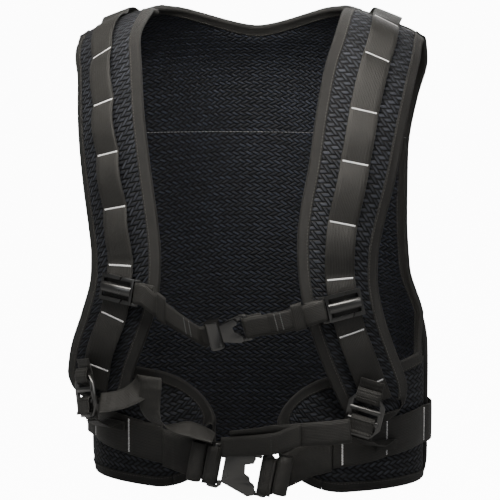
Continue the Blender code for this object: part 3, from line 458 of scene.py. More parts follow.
LINING = mesh_cloth("lining_mesh", 0.0041, 0.0022, (0.0001, 0.0001, 0.0002), (0.0150, 0.0185, 0.0290))
STRAP_FACE = mesh_cloth("strap_mesh", 0.0039, 0.0024, (0.0001, 0.0001, 0.0002), (0.0330, 0.0365, 0.0460))
WEBBING = web_cloth("webbing_nylon", (0.0011, 0.0011, 0.0010), (0.0152, 0.0148, 0.0137))
TAPE = tape_cloth("edge_tape", (0.0018, 0.0018, 0.0018), (0.0132, 0.0131, 0.0128))
PACK_CLOTH = pack_cloth("pack_cloth", (0.0008, 0.0008, 0.0009), (0.0060, 0.0060, 0.0066))
PLASTIC = moulded_plastic("acetal", (0.0030, 0.0030, 0.0029), 0.30, 0.9)
GLOSS_PLASTIC = moulded_plastic("acetal_gloss", (0.0028, 0.0028, 0.0027), 0.22, 1.0)
PALE_THREAD = thread("pale_thread", (0.50, 0.50, 0.52), (0.86, 0.86, 0.88))
GREY_THREAD = thread("grey_thread", (0.10, 0.10, 0.11), (0.22, 0.22, 0.23))
DARK_THREAD = thread("dark_thread", (0.010, 0.009, 0.008), (0.040, 0.037, 0.032))

# ---- The vest's surfaces ----------------------------------------------------------------------------


def waist_shift(z):
    return WAIST_SHIFT * (1 - smoothstep(z, WAIST_TOP, CHEST_BOTTOM))


def back_point(angle, t):
    """Inner face of the back panel: angle round the torso from the centre back, t up the profile."""
    y, z = spline_at(BACK_PROFILE, t)
    widening = smoothstep(z, 0.34, 0.47)
    half_width = TORSO_HALF_WIDTH + (SHOULDER_HALF_WIDTH - TORSO_HALF_WIDTH) * widening
    x = half_width * math.sin(angle)
    depth = y if math.cos(angle) > 0 else TORSO_HALF_DEPTH
    drop = SHOULDER_SLOPE * smoothstep(z, 0.40, 0.489) * max(0.0, abs(x) - NECK_HALF_WIDTH)
    return Vector((x + waist_shift(z), depth * math.cos(angle), z - drop))


def belt_point(angle, z):
    return Vector((WAIST_SHIFT + TORSO_HALF_WIDTH * math.sin(angle), TORSO_HALF_DEPTH * math.cos(angle), z))


def surface_at(surface, a, b):
    """A surface's point and outward normal."""
    step = 1e-4
    along_a = surface(a + step, b) - surface(a - step, b)
    along_b = surface(a, b + step) - surface(a, b - step)
    return surface(a, b), along_b.cross(along_a).normalized()


def offset_point(surface, a, b, distance):
    point, normal = surface_at(surface, a, b)
    return point + normal * distance


def sideways_on(surface, angle, b, distance=0.0):
    """Way round the torso at a distance out from a surface."""
    ahead, behind = (offset_point(surface, angle + turn, b, distance) for turn in (0.05, -0.05))
    return (ahead - behind).normalized()


def panel_outline(u, v):
    """Maps the unit panel to (angle, t), with the sewn margin past the foam at the hem, armholes and neck."""
    share = abs(u)
    if share >= NECK_SHARE:
        top_t = 1.0
        top_angle = NECK_ANGLE + (SHOULDER_ANGLE - NECK_ANGLE) * (share - NECK_SHARE) / (1 - NECK_SHARE)
    else:
        top_t = NECKLINE_LOW + (1 - NECKLINE_LOW) * (share / NECK_SHARE) ** 1.6
        top_angle = NECK_ANGLE * share / NECK_SHARE
    top_t += NECK_MARGIN * (1 - smoothstep(share, NECK_SHARE - 0.10, NECK_SHARE + 0.02))
    t = -HEM_MARGIN + v * (top_t + HEM_MARGIN)
    spread = share + (top_angle / SHOULDER_ANGLE - share) * smoothstep(v, 0.35, 1.0)
    _, z = spline_at(BACK_PROFILE, t)
    waist = SEAM_ANGLE + (ARMHOLE_ANGLE - SEAM_ANGLE) * smoothstep(z, WING_TOP_SIDE - 0.006, 0.220)
    half = waist + (SHOULDER_ANGLE - ARMHOLE_ANGLE) * smoothstep(z, 0.30, 0.47)
    half += ARMHOLE_MARGIN * smoothstep(z, 0.116, 0.160)
    return math.copysign(spread * half, u), t


def back_at(u, v):
    return surface_at(back_point, *panel_outline(u, v))


def wing_front_angle():
    return math.pi - math.asin(WING_FRONT_GAP / TORSO_HALF_WIDTH)


def wing_at(side, u, v):
    """The belt wing from the side seam, u = -1, to its round front end, u = 1, with its sewn margin."""
    seam = SEAM_ANGLE + SEAM_GAP / TORSO_HALF_DEPTH
    front = wing_front_angle() + EDGE_OUT / TORSO_HALF_WIDTH
    length = (front - seam) * (TORSO_HALF_WIDTH + TORSO_HALF_DEPTH) / 2
    share = (u + 1) / 2
    along = 1 - max(0.0, 1 - share) ** 1.6
    corner = WING_CORNER + EDGE_OUT
    rounding = corner - math.sqrt(max(0.0, corner ** 2 - max(0.0, corner - (1 - along) * length) ** 2))
    top = WING_TOP_SIDE + (WING_TOP_FRONT - WING_TOP_SIDE) * smoothstep(along, 0.0, 0.7) + EDGE_OUT
    low, high = PAD_BOTTOM - EDGE_OUT + HEM_CLEARANCE + rounding * 0.95, top - rounding
    return surface_at(belt_point, side * (seam + (front - seam) * along), low + (high - low) * v)


def strap_frame(stations, s):
    step = 0.004
    row = spline_at(stations, s)
    ahead, behind = spline_at(stations, s + step), spline_at(stations, s - step)
    along = Vector(a - b for a, b in zip(ahead[:3], behind[:3])).normalized()
    side = math.copysign(1, stations[0][0])
    yaw = math.radians(row[4])
    top = 1 - smoothstep(s, 0.0, 0.22)
    level = Vector((math.sin(yaw), -math.cos(yaw), 0)).cross(along).normalized()
    across = level.lerp(Vector((0.94, -0.07 * side, -0.34 * side)), top).normalized()
    outward = along.cross(across).normalized()
    return Vector(row[:3]), along, across, outward, row[3]


STRAP_TOP, STRAP_END = -0.012, 1.018     # the sewn strap's ends, as positions along its stations
STRAP_ROUNDING = 0.2         # lean of a strap's outer face at its edges
STRAP_CROWN = 0.003          # how far a strap's edges lie behind its middle


def strap_at(stations, q, s):
    """The strap's inner face, q from -1 to 1 across it, with its sewn margin, and its outward normal."""
    middle, _, across, outward, half_width = strap_frame(stations, s)
    end = max(0.0, (s - 0.93) / (STRAP_END - 0.93))
    half_width = (half_width + EDGE_OUT) * math.sqrt(max(0.0, 1 - (0.90 * end) ** 2))
    normal = (outward + across * (STRAP_ROUNDING * q)).normalized()
    return middle + across * (q * half_width) - outward * (STRAP_CROWN * q * q), normal


def strap_position(stations, z):
    return bisect(lambda s: spline_at(stations, s)[2] > z)


def slider_placement(stations, z):
    s = strap_position(stations, z)
    middle, along, across, outward, _ = strap_frame(stations, s)
    return frame_of(middle + outward * (PAD_THICK + SLIDER_LIFT), across, -along)


def buckle_placement(spec):
    middle, slope, lean = spec
    turned = Matrix.Rotation(math.radians(-slope), 4, "Y") @ Matrix.Rotation(math.radians(lean), 4, "X")
    return Matrix.Translation(middle) @ turned @ Matrix.Rotation(math.pi / 2, 4, "X")


# ---- Pads -------------------------------------------------------------------------------------------


def edge_half(distance, full):
    """Half thickness of a pad at a distance in from its taped edge."""
    return EDGE_HALF + (full / 2 - EDGE_HALF) * smoothstep(distance, 0.0, EDGE_RAMP)


def nearest(points, marks):
    """For each point, the distance to the nearest mark."""
    if not len(marks):
        return np.full(len(points), 1.0)
    return np.min(np.linalg.norm(points[:, None, :] - marks[None, :, :], axis=2), axis=1)


def pad(name, at, us, vs, full, taped, held, inner_material, outer_material, cap, pressure):
    """A sewn pad: two faces that meet at its edges, swollen by a short cloth simulation between its seams.

    at(u, v) is its inner face and normal, taped(u, v) tells a taped edge from a seam, and held(u, v) marks
    what lies under webbing and doesn't swell on the outer face.
    """
    rows, columns = len(vs), len(us)
    base = [[at(u, v) for u in us] for v in vs]
    middles = np.array([[p + n * (full / 2) for p, n in row] for row in base])
    normals = np.array([[n for _, n in row] for row in base])
    flat = middles.reshape(-1, 3)
    rim = [(r, c) for r in range(rows) for c in range(columns) if r in (0, rows - 1) or c in (0, columns - 1)]
    tape_marks = np.array([middles[r, c] for r, c in rim if taped(us[c], vs[r])]).reshape(-1, 3)
    seam_marks = np.array([middles[r, c] for r, c in rim if not taped(us[c], vs[r])]).reshape(-1, 3)
    to_tape, to_seam = nearest(flat, tape_marks), nearest(flat, seam_marks)
    half = np.array([edge_half(d, full) for d in to_tape]) - 0.0012 * np.exp(-(to_seam / 0.003) ** 2)
    across = np.zeros((rows, columns))
    across[:, 1:] = np.cumsum(np.linalg.norm(np.diff(middles, axis=1), axis=2), axis=1)
    across -= across[:, columns // 2][:, None]
    up = np.zeros((rows, columns))
    up[1:] = np.cumsum(np.linalg.norm(np.diff(middles, axis=0), axis=2), axis=0)
    outer = flat + normals.reshape(-1, 3) * half[:, None]
    inner = flat - normals.reshape(-1, 3) * half[:, None]
    count = rows * columns
    uv = [(across[r, c], up[r, c]) for r in range(rows) for c in range(columns)]
    faces, loops, slots = [], [], []
    for r in range(rows - 1):
        for c in range(columns - 1):
            ring = (r * columns + c, r * columns + c + 1, (r + 1) * columns + c + 1, (r + 1) * columns + c)
            faces += [ring, tuple(count + k for k in reversed(ring))]
            loops += [tuple(uv[k] for k in ring), tuple(uv[k] for k in reversed(ring))]
            slots += [1, 0]
    border = [(0, c) for c in range(columns)] + [(r, columns - 1) for r in range(1, rows)]
    border += [(rows - 1, c) for c in range(columns - 2, -1, -1)] + [(r, 0) for r in range(rows - 2, 0, -1)]
    ids = [r * columns + c for r, c in border]
    for a, b in zip(ids, ids[1:] + ids[:1]):
        faces.append((a, count + a, count + b, b))
        loops.append((uv[a], uv[a], uv[b], uv[b]))
        slots.append(1)
    obj = new_object(name, np.concatenate([outer, inner]).tolist(), faces, loops, inner_material)
    obj.data.materials.append(outer_material)
    obj.data.polygons.foreach_set("material_index", slots)
    face_outward(obj)
    near_edge = (to_tape < TAPE_WIDTH + 0.002) | (to_seam < 0.004)
    under_web = np.array([held(u, v) for v in vs for u in us])
    pinned = np.concatenate([near_edge | under_web, near_edge])
    swell(obj, pinned, cap, pressure)
    subdivide(obj)
    return obj


def swell(obj, pinned, cap, pressure):
    """Cloth simulation with pressure inside the pad, applied to its mesh, with every move capped."""
    rest = np.array([v.co for v in obj.data.vertices])
    group = obj.vertex_groups.new(name="sewn")
    group.add([int(k) for k in np.nonzero(pinned)[0]], 1.0, "REPLACE")
    cloth = obj.modifiers.new("cloth", "CLOTH")
    settings = cloth.settings
    settings.quality = 5
    settings.mass = 0.25
    settings.tension_stiffness = settings.compression_stiffness = 12
    settings.bending_stiffness = 0.6
    settings.use_pressure = True
    settings.uniform_pressure_force = pressure
    settings.effector_weights.gravity = 0
    settings.vertex_group_mass = "sewn"
    cloth.point_cache.frame_start, cloth.point_cache.frame_end = 1, 14
    for step in range(1, 15):
        bpy.context.scene.frame_set(step)
    seen = obj.evaluated_get(bpy.context.evaluated_depsgraph_get())
    moved = np.array([v.co for v in seen.data.vertices])
    obj.modifiers.remove(cloth)
    bpy.context.scene.frame_set(1)
    shift = moved - rest
    length = np.linalg.norm(shift, axis=1)
    shift *= (cap * np.tanh(length / cap) / np.maximum(length, 1e-9))[:, None]
    obj.data.vertices.foreach_set("co", (rest + shift).ravel())
    obj.data.update()


def subdivide(obj):
    """One Catmull-Clark step, applied."""
    modifier = obj.modifiers.new("smooth", "SUBSURF")
    modifier.levels = modifier.render_levels = 1
    seen = obj.evaluated_get(bpy.context.evaluated_depsgraph_get())
    mesh = bpy.data.meshes.new_from_object(seen)
    obj.modifiers.remove(modifier)
    obj.data = mesh
    mesh.shade_smooth()


def spaced(low, high, count):
    return [low + (high - low) * k / (count - 1) for k in range(count)]


def make_back():
    def taped(u, v):
        if v <= 0:
            return True
        if v >= 1:
            return abs(u) < NECK_SHARE
        return back_at(u, v)[0].z > WING_TOP_SIDE + 0.004

    def held(u, v):
        point = back_at(u, v)[0]
        return point.z < 0.094 or abs(point.z - LINING_SEAM_Z) < 0.004

    made = pad("back_pad", back_at, spaced(-1, 1, 47), spaced(0, 1, 61), BACK_THICK, taped, held,
               LINING, PACK_CLOTH, 0.0016, 2.5)
    return finish_piece(made, "vest", "lining", "back_lining", "back_foam", "back_frame_sheet", "back_cover")


def make_wing(name, side):
    def held(u, v):
        return True if u < -0.97 else 0.03 < wing_at(side, u, v)[0].z < 0.094

    made = pad(f"{name}_wing_pad", lambda u, v: wing_at(side, u, v), spaced(-1, 1, 39), spaced(0, 1, 21),
               PAD_THICK, lambda u, v: u > -1 + 1e-6, held, LINING, STRAP_FACE, 0.0020, 4.0)
    finish_piece(made, "vest", "lining", *[f"{name}_wing_{part}" for part in ("lining", "foam", "cover")])


def make_strap(name, stations):
    def held(q, s):
        return abs(q) * stations[5][3] < SHOULDER_WEB / 2 + 0.001

    made = pad(f"{name}_strap_pad", lambda q, s: strap_at(stations, q, s), spaced(-1, 1, 17),
               spaced(STRAP_TOP, STRAP_END, 83), PAD_THICK, lambda q, s: s > STRAP_TOP, held, PACK_CLOTH,
               STRAP_FACE, 0.0022, 4.0)
    finish_piece(made, "vest", "lining", *[f"{name}_strap_{part}" for part in ("lining", "foam", "cover")])


# ---- Stitches -----------------------------------------------------------------------------------------

STITCH_RINGS = [(-0.5, 0.0), (-0.32, 1.0), (0.32, 1.0), (0.5, 0.0)]


def stitches(name, rows, radius, material, body="vest", slot="webbing"):
    """Many small stitches in one mesh. Each row is (middle, direction along it with its length, normal)."""
    verts, faces = [], []
    sides = 6
    for middle, along, normal in rows:
        start = len(verts)
        across = along.cross(normal).normalized()
        verts.append(middle + along * STITCH_RINGS[0][0])
        for share, swell_share in STITCH_RINGS[1:-1]:
            for k in range(sides):
                turn = 2 * math.pi * k / sides
                out = across * math.cos(turn) + normal * (0.7 * math.sin(turn))
                verts.append(middle + along * share + out * (radius * swell_share))
        verts.append(middle + along * STITCH_RINGS[-1][0])
        last = len(verts) - 1
        for k in range(sides):
            m = (k + 1) % sides
            faces.append((start, start + 1 + m, start + 1 + k))
            faces.append((start + 1 + k, start + 1 + m, start + 1 + sides + m, start + 1 + sides + k))
            faces.append((start + 1 + sides + k, start + 1 + sides + m, last))
    loops = [[(0.0, 0.0)] * len(face) for face in faces]
    made = face_outward(new_object(name, [tuple(v) for v in verts], faces, loops, material))
    return finish_piece(made, body, slot)


def tack_rows(middle, across, along, normal, length, count=26, stroke=0.0022):
    """A bar tack: close zigzag strokes along the web, side by side across it."""
    rows = []
    for k in range(count):
        at = (k / (count - 1) - 0.5) * length
        lean = 0.35 if k % 2 else -0.35
        rows.append((middle + across * at, (along + across * lean).normalized() * stroke, normal))
    return rows


def seam_rows(points, normals, stitch=0.0026, gap=0.0009):
    """Running stitches along a line of points."""
    places, arc = measured(points)
    directions = np.array([list(n) for n in normals])
    rows = []
    at = stitch / 2
    while at + stitch / 2 < arc[-1]:
        ends = [read_at(here, arc, places) for here in (at - stitch / 2, at + stitch / 2)]
        normal = read_at(at, arc, directions).normalized()
        rows.append(((ends[0] + ends[1]) / 2, ends[1] - ends[0], normal))
        at += stitch + gap
    return rows


# ---- Edge tape ------------------------------------------------------------------------------------------


def tape(name, stations, full, nodes):
    """Tape folded over a pad's edge. Each station maps the distance in from the edge to (middle, normal)."""
    inner_seam, rings, seam, seam_normals, uvs = [], [], [], [], []
    steps = [1.0, 0.94, 0.78, 0.6, 0.4, 0.2, 0.06]
    length, previous = 0.0, None
    for station in stations:
        point, normal = station(0.0)
        away = (point - station(0.003)[0]).normalized()
        length += (point - previous).length if previous else 0.0
        previous = point

        def face(share, extra, way):
            middle, facing = station(share * TAPE_WIDTH)
            pinch = extra * (0.25 if share == 1.0 else 1.0)
            return middle + facing * (way * (edge_half(share * TAPE_WIDTH, full) + TAPE_LIFT + pinch))

        def wrap(extra):
            radius = EDGE_HALF + TAPE_LIFT + extra
            fold = []
            for turn in (math.radians(degrees) for degrees in (70, 35, 0, -35, -70)):
                fold.append(point + away * (radius * math.cos(turn)) + normal * (radius * math.sin(turn)))
            outside = [face(share, extra, 1) for share in steps]
            return outside + fold + [face(share, extra, -1) for share in reversed(steps)]

        ring = wrap(TAPE_THICK) + wrap(0.0)[::-1]
        rings.append(ring)
        uvs.append([(0.0015 * c, length) for c in range(len(ring) + 1)])
        x = 0.80 * TAPE_WIDTH
        middle, facing = station(x)
        lift = edge_half(x, full) + TAPE_LIFT + TAPE_THICK + THREAD_LIFT
        seam.append(middle + facing * lift)
        inner_seam.append(middle - facing * lift)
        seam_normals.append(facing)
    finish_piece(tube(name, rings, uvs, TAPE), "vest", "binding", *nodes)
    rows = seam_rows(seam, seam_normals) + seam_rows(inner_seam, [-n for n in seam_normals])
    stitches(f"{name}_stitches", rows, 0.00028, DARK_THREAD, slot="binding")


def in_metres(at, a, b, way, full):
    """A function from a distance in from an edge to (middle, normal), going from (a, b) towards way."""
    step = 0.02
    here, there = at(a, b)[0], at(a + way[0] * step, b + way[1] * step)[0]
    rate = step / max((there - here).length, 1e-6)

    def station(distance):
        point, normal = at(a + way[0] * rate * distance, b + way[1] * rate * distance)
        return point + normal * (full / 2), normal
    return station


def make_strap_tape(name, stations):
    def at(q, s):
        return strap_at(stations, q, s)

    def side_station(q, s):
        turn = smoothstep(s, 0.965, STRAP_END)
        return in_metres(at, q, s, (-q * (1 - 0.55 * turn), -0.09 * turn), PAD_THICK)

    down = spaced(STRAP_TOP, 0.93, 60) + spaced(0.936, STRAP_END, 16)
    path = [side_station(-1, s) for s in down]
    for q in (-0.66, -0.33, 0.0, 0.33, 0.66):
        path.append(in_metres(at, q, STRAP_END, (-0.45 * q, -0.09), PAD_THICK))
    path += [side_station(1, s) for s in reversed(down)]
    tape(f"{name}_strap_tape", path, PAD_THICK, [f"{name}_strap_binding"])


def make_side_tape(name, side):
    """Down the armhole, along the wing's top, round its front end and back to the hem."""
    path = [in_metres(back_at, side, v, (-side, 0), BACK_THICK) for v in spaced(0.995, 0.292, 60)]

    def at(u, v):
        return wing_at(side, u, v)
    path += [in_metres(at, u, 1.0, (0, -1), PAD_THICK) for u in spaced(-0.90, 0.30, 22)]
    for u in spaced(0.34, 0.985, 26):
        turn = smoothstep(u, 0.3, 1.0)
        path.append(in_metres(at, u, 1.0, (-0.35 * turn, -1 + 0.3 * turn), PAD_THICK))
    path += [in_metres(at, 1.0, v, (-0.35, 0.5 - v), PAD_THICK) for v in (0.9, 0.7, 0.5, 0.3, 0.1)]
    for u in spaced(0.985, WING_TAPE_END, 28):
        turn = smoothstep(u, 0.3, 1.0)
        path.append(in_metres(at, u, 0.0, (-0.35 * turn, 1 - 0.3 * turn), PAD_THICK))
    tape(f"{name}_side_tape", path, PAD_THICK, [f"{name}_side_binding"])


def make_neck_tape():
    path = [in_metres(back_at, u, 1.0, (0, -1), BACK_THICK) for u in spaced(-NECK_SHARE, NECK_SHARE, 70)]
    tape("neck_tape", path, BACK_THICK, ["neck_binding"])


def make_hem_tape():
    def wing(side):
        return lambda u, v: wing_at(side, u, v)
    right = [in_metres(wing(-1), u, 0.0, (0, 1), PAD_THICK) for u in spaced(WING_TAPE_END - 0.01, -0.98, 24)]
    back = [in_metres(back_at, u, 0.0, (0, 1), PAD_THICK) for u in spaced(-0.99, 0.99, 80)]
    left = [in_metres(wing(1), u, 0.0, (0, 1), PAD_THICK) for u in spaced(-0.98, WING_TAPE_END - 0.01, 24)]
    tape("hem_tape", right + back + left, PAD_THICK, ["hem_binding"])


# ---- Webbing --------------------------------------------------------------------------------------------


def web_mesh(name, rows, width, thickness=WEB_THICK, material=None):
    """Flat webbing with rounded selvedges. rows are (middle, across), close together."""
    half = thickness / 2
    section = [(-0.5, 0.0), (-0.485, 0.75), (-0.3, 1.0), (0.0, 1.04), (0.3, 1.0), (0.485, 0.75), (0.5, 0.0),
               (0.485, -0.75), (0.3, -1.0), (0.0, -1.04), (-0.3, -1.0), (-0.485, -0.75)]
    rings, uvs, length = [], [], 0.0
    for k, (middle, across) in enumerate(rows):
        normal = heading(rows, k).cross(across).normalized()
        across = across.normalized()
        length += (middle - rows[k - 1][0]).length if k else 0.0
        rings.append([middle + across * (x * width) + normal * (z * half) for x, z in section])
        back_shift = [0.05 if c > 6 else 0 for c in range(len(section) + 1)]
        uvs.append([(x * width + shift, length) for (x, _), shift in zip(section + section[:1], back_shift)])
    return tube(name, rings, uvs, material or WEBBING)


def smooth_rows(stations, steps):
    """Close rows of (middle, across) along a smooth curve through a few of them."""
    table = [tuple(middle) + tuple(across) for middle, across in stations]
    rows = [spline_at(table, k / steps) for k in range(steps + 1)]
    return [(Vector(row[:3]), Vector(row[3:]).normalized()) for row in rows]


def web(name, stations, width, body="vest", thickness=WEB_THICK, steps=None, wobble=0.00025):
    """Webbing along a smooth curve through its stations, each a middle and a direction across the web."""
    steps = steps or 8 * (len(stations) - 1)
    rows = smooth_rows(stations, steps)
    phase = 1.7 * len(name)
    for k in range(3, steps - 2):
        middle, side = rows[k]
        normal = heading(rows, k).cross(side).normalized()
        rows[k] = (middle + normal * (wobble * math.sin(phase + 0.9 * k) * math.sin(0.23 * k)), side)
    made = web_mesh(name + "_strip", rows, width, thickness)
    finish_piece(made, body, "webbing", name)
    return rows


def resample(rows, spacing=0.0015):
    """Rows at equal distances along the web, with the distance of each."""
    places, arc = measured([p for p, _ in rows])
    sides = np.array([list(a) for _, a in rows])
    at = np.linspace(0, arc[-1], int(arc[-1] / spacing))
    return [(read_at(d, arc, places), read_at(d, arc, sides).normalized()) for d in at], at


def daisy_chain(name, rows, tacks, width, outward, tack_length, node, bulge=BULGE, flat_spans=()):
    """Webbing sewn down by bar tacks, standing off a little between them."""
    rows, at = resample(rows)
    tacks = sorted(tacks)
    lifted = []
    for k, (middle, side) in enumerate(rows):
        normal = toward(heading(rows, k).cross(side).normalized(), outward(middle))
        distance = at[k]
        below = [t for t in tacks if t <= distance]
        above = [t for t in tacks if t > distance]
        lift = 0.0
        if below and above:
            share = (distance - below[-1]) / (above[0] - below[-1])
            lift = bulge * math.sin(math.pi * share ** 1.25) ** 0.8
        for low, high in flat_spans:
            flat = smoothstep(distance, low - 0.012, low) * (1 - smoothstep(distance, high, high + 0.012))
            lift *= 1 - flat
        lifted.append((middle + normal * lift, side, normal))
    made = web_mesh(name + "_strip", [(m, s) for m, s, _ in lifted], width)
    finish_piece(made, "vest", "webbing", node)
    marks = []
    for tack in tacks:
        k = int(np.argmin(np.abs(at - tack)))
        middle, side, normal = lifted[k]
        along = heading(lifted, k).normalized()
        marks += tack_rows(middle + normal * (WEB_THICK / 2 + THREAD_LIFT), side, along, normal, tack_length)
    stitches(f"{name}_bar_tacks", marks, 0.00045, PALE_THREAD)


def make_shoulder_webbing(name, stations, slider_z, tack_heights):
    slider_middle = strap_frame(stations, strap_position(stations, slider_z))[0]
    side = math.copysign(1, stations[0][0])
    route = []
    for k in range(27):
        s = 0.955 - k * 0.036
        middle, _, sideways, outward, _ = strap_frame(stations, s)
        near = (middle - slider_middle).length / SLIDER_SPAN
        lift = SHEET_GAP + WEB_THICK / 2
        if near < 1:
            lift += (SLIDER_LIFT - lift) * (1 - smoothstep(near, 0.45, 1.0))
        route.append((middle + outward * (PAD_THICK + lift), sideways))
    for k in range(15):
        degrees, t = spline_at(BACK_WEB_ROUTE, k / 14)
        angle = side * math.radians(degrees)
        point = offset_point(back_point, angle, t, BACK_THICK + SHEET_GAP + WEB_THICK / 2 + 0.0006)
        route.append((point, sideways_on(back_point, angle, t, BACK_THICK)))
    even, at = resample(smooth_rows(route, 320))
    front = [k for k in range(len(even)) if even[k][0].y < -0.03]
    tacks = [at[min(front, key=lambda k: abs(even[k][0].z - z))] for z in tack_heights]
    top = max(tacks)
    extra = int((at[-1] - 0.004 - top) / TACK_SPACING)
    tacks += [top + TACK_SPACING * (k + 1) for k in range(extra)]
    slider_at = at[min(front, key=lambda k: abs(even[k][0].z - slider_z))]

    def outward(point):
        return Vector((point.x * 0.5, point.y, 0.9 * smoothstep(point.z, 0.40, 0.47)))
    daisy_chain(f"{name}_shoulder_web", even, tacks, SHOULDER_WEB, outward, 0.025, f"{name}_shoulder_webbing",
                flat_spans=[(slider_at - 0.024, slider_at + 0.024)])


def belt_web_height(angle):
    return BELT_WEB_Z_SIDE + (BELT_WEB_Z_FRONT - BELT_WEB_Z_SIDE) * smoothstep(abs(angle), 1.75, 2.8)


def make_belt_webbing():
    end = 2.62
    rows, angles = [], []
    for k in range(241):
        angle = -end + 2 * end * k / 240
        extra = (BACK_THICK - PAD_THICK) * (1 - smoothstep(abs(angle), SEAM_ANGLE, SEAM_ANGLE + 0.15))
        lift = PAD_THICK + SHEET_GAP + WEB_THICK / 2 + extra
        rows.append((offset_point(belt_point, angle, belt_web_height(angle), lift), Vector((0, 0, 1))))
        angles.append(angle)
    even, at = resample(rows)
    places = np.array([list(p) for p, _ in even])

    def arc_of(degrees):
        angle = math.radians(degrees)
        target = np.array(offset_point(belt_point, angle, belt_web_height(angle), PAD_THICK))
        return at[int(np.argmin(np.linalg.norm(places - target, axis=1)))]
    first, last = arc_of(-134.7), arc_of(126.9)
    spans = round((last - first) / TACK_SPACING)
    tacks = [first + (last - first) * k / spans for k in range(spans + 1)]
    tacks += [arc_of(146.3)]
    daisy_chain("belt_web", even, tacks, BELT_WEB, lambda p: Vector((p.x - WAIST_SHIFT, 2 * p.y, 0)), 0.034,
                "belt_webbing", bulge=0.0024)


def make_back_rows():
    for number, t in enumerate(BACK_ROW_POSITIONS):
        rows = []
        for k in range(41):
            angle = math.radians(BACK_ROW_ANGLE * (k / 20 - 1))
            up = back_point(angle, t + 0.01) - back_point(angle, t - 0.01)
            rows.append((offset_point(back_point, angle, t, BACK_THICK + SHEET_GAP + WEB_THICK / 2 + 0.0004),
                         up.normalized()))
        _, at = resample(rows)
        tacks = [0.004 + (at[-1] - 0.008) * k / 3 for k in range(4)]
        daisy_chain(f"back_row_{number + 1}", rows, tacks, BACK_ROW_WEB, lambda p: Vector((0, 1, 0)), 0.021,
                    f"back_webbing_row_{number + 1}", bulge=0.0020)


def make_lock_webs(name, spec, side):
    """Web loop that holds the lock, the web threaded through it, and the adjusting web down to the belt."""
    placement = frame_of(Vector(spec[0]), spec[1], spec[2])
    turn = placement.to_3x3()
    first = turn @ Vector((1, 0, 0))
    r = 0.0036
    path = [(-0.0010, 0.0200), (-0.0020, 0.0130), (-r, 0.0050), *arc_points(r, 180, 360, 7), (r, 0.0030),
            (0.0026, 0.0070), (0.0010, 0.0105)]
    web(f"{name}_lock_loop", [(placement @ Vector((0, y, z)), first) for z, y in path], ADJUSTER_WEB)
    r, centre = 0.0040, -0.0232
    path = [(-r, centre - 0.0190), (-r, centre - 0.0080), *arc_points(r, 180, 0, 7, (0, centre)),
            (r + 0.0006, centre - 0.0080), (r + 0.0022, centre - 0.0130)]
    web(f"{name}_lock_web", [(placement @ Vector((0, y, z)), first) for z, y in path], ADJUSTER_WEB,
        body=f"{name}_lock")
    low = placement @ Vector((0, centre - 0.0200, -r))
    angle = side * math.radians(128)
    over_belt = PAD_THICK + 2 * SHEET_GAP + 1.5 * WEB_THICK + 0.0016
    anchor = offset_point(belt_point, angle, low.z - 0.010, over_belt)
    between = low.lerp(anchor, 0.5) + Vector((0, 0, -0.006))
    last = toward(sideways_on(belt_point, angle, 0.09), first)
    stations = [(low, first), (between, first.lerp(last, 0.5)), (anchor, last)]
    stations.append((anchor + Vector((0, 0, -0.010)), last))
    web(f"{name}_adjuster_web", stations, ADJUSTER_WEB, steps=30)


def make_sternum_webs():
    placement = buckle_placement(CHEST_BUCKLE)
    specs = (("right", RIGHT_STRAP, RIGHT_SLIDER_Z, -CHEST_BAR_X, 1),
             ("left", LEFT_STRAP, LEFT_SLIDER_Z, CHEST_BAR_X, -1))
    for name, stations, slider_z, at, side in specs:
        bar = slider_placement(stations, slider_z) @ Matrix.Translation((side * SLIDER_BAR_X, 0, 0.0009))
        near = placement @ Matrix.Translation((at, 0, 0))
        r = SLIDER_BAR_RADIUS + LOOP_CLEARANCE + WEB_THICK / 2
        rows = []
        for x, z in [(0.016, -r + 0.0004), (0.008, -r), *arc_points(r, 270, 90, 7), (0.008, r)]:
            rows.append((bar @ Vector((side * x, 0, z)), bar.to_3x3() @ Vector((0, 1, 0))))
        r = CHEST_BAR_RADIUS + LOOP_CLEARANCE + WEB_THICK / 2
        if name == "right":
            path = [(-0.014, -r), (-0.007, -r), *arc_points(r, -90, 120, 8)]
        else:
            path = [(-0.012, r), (-0.006, r), *arc_points(r, 90, -90, 7), (-0.008, -r), (-0.016, -r + 0.0004)]
        far = [(near @ Vector((side * x, 0, z)), near.to_3x3() @ Vector((0, 1, 0))) for x, z in path]
        start, end = rows[-1], far[0]
        sag = Vector((0, 0, -0.002))
        for share in (0.2, 0.4, 0.6, 0.8):
            middle = start[0].lerp(end[0], share) + sag * math.sin(math.pi * share)
            rows.append((middle, start[1].lerp(end[1], share)))
        rows += far
        laid = web(f"{name}_sternum_web", rows, STERNUM_WEB, body=f"{name}_sternum_web",
                   steps=6 * len(rows), wobble=0.0)
        dress_sternum_web(name, laid)


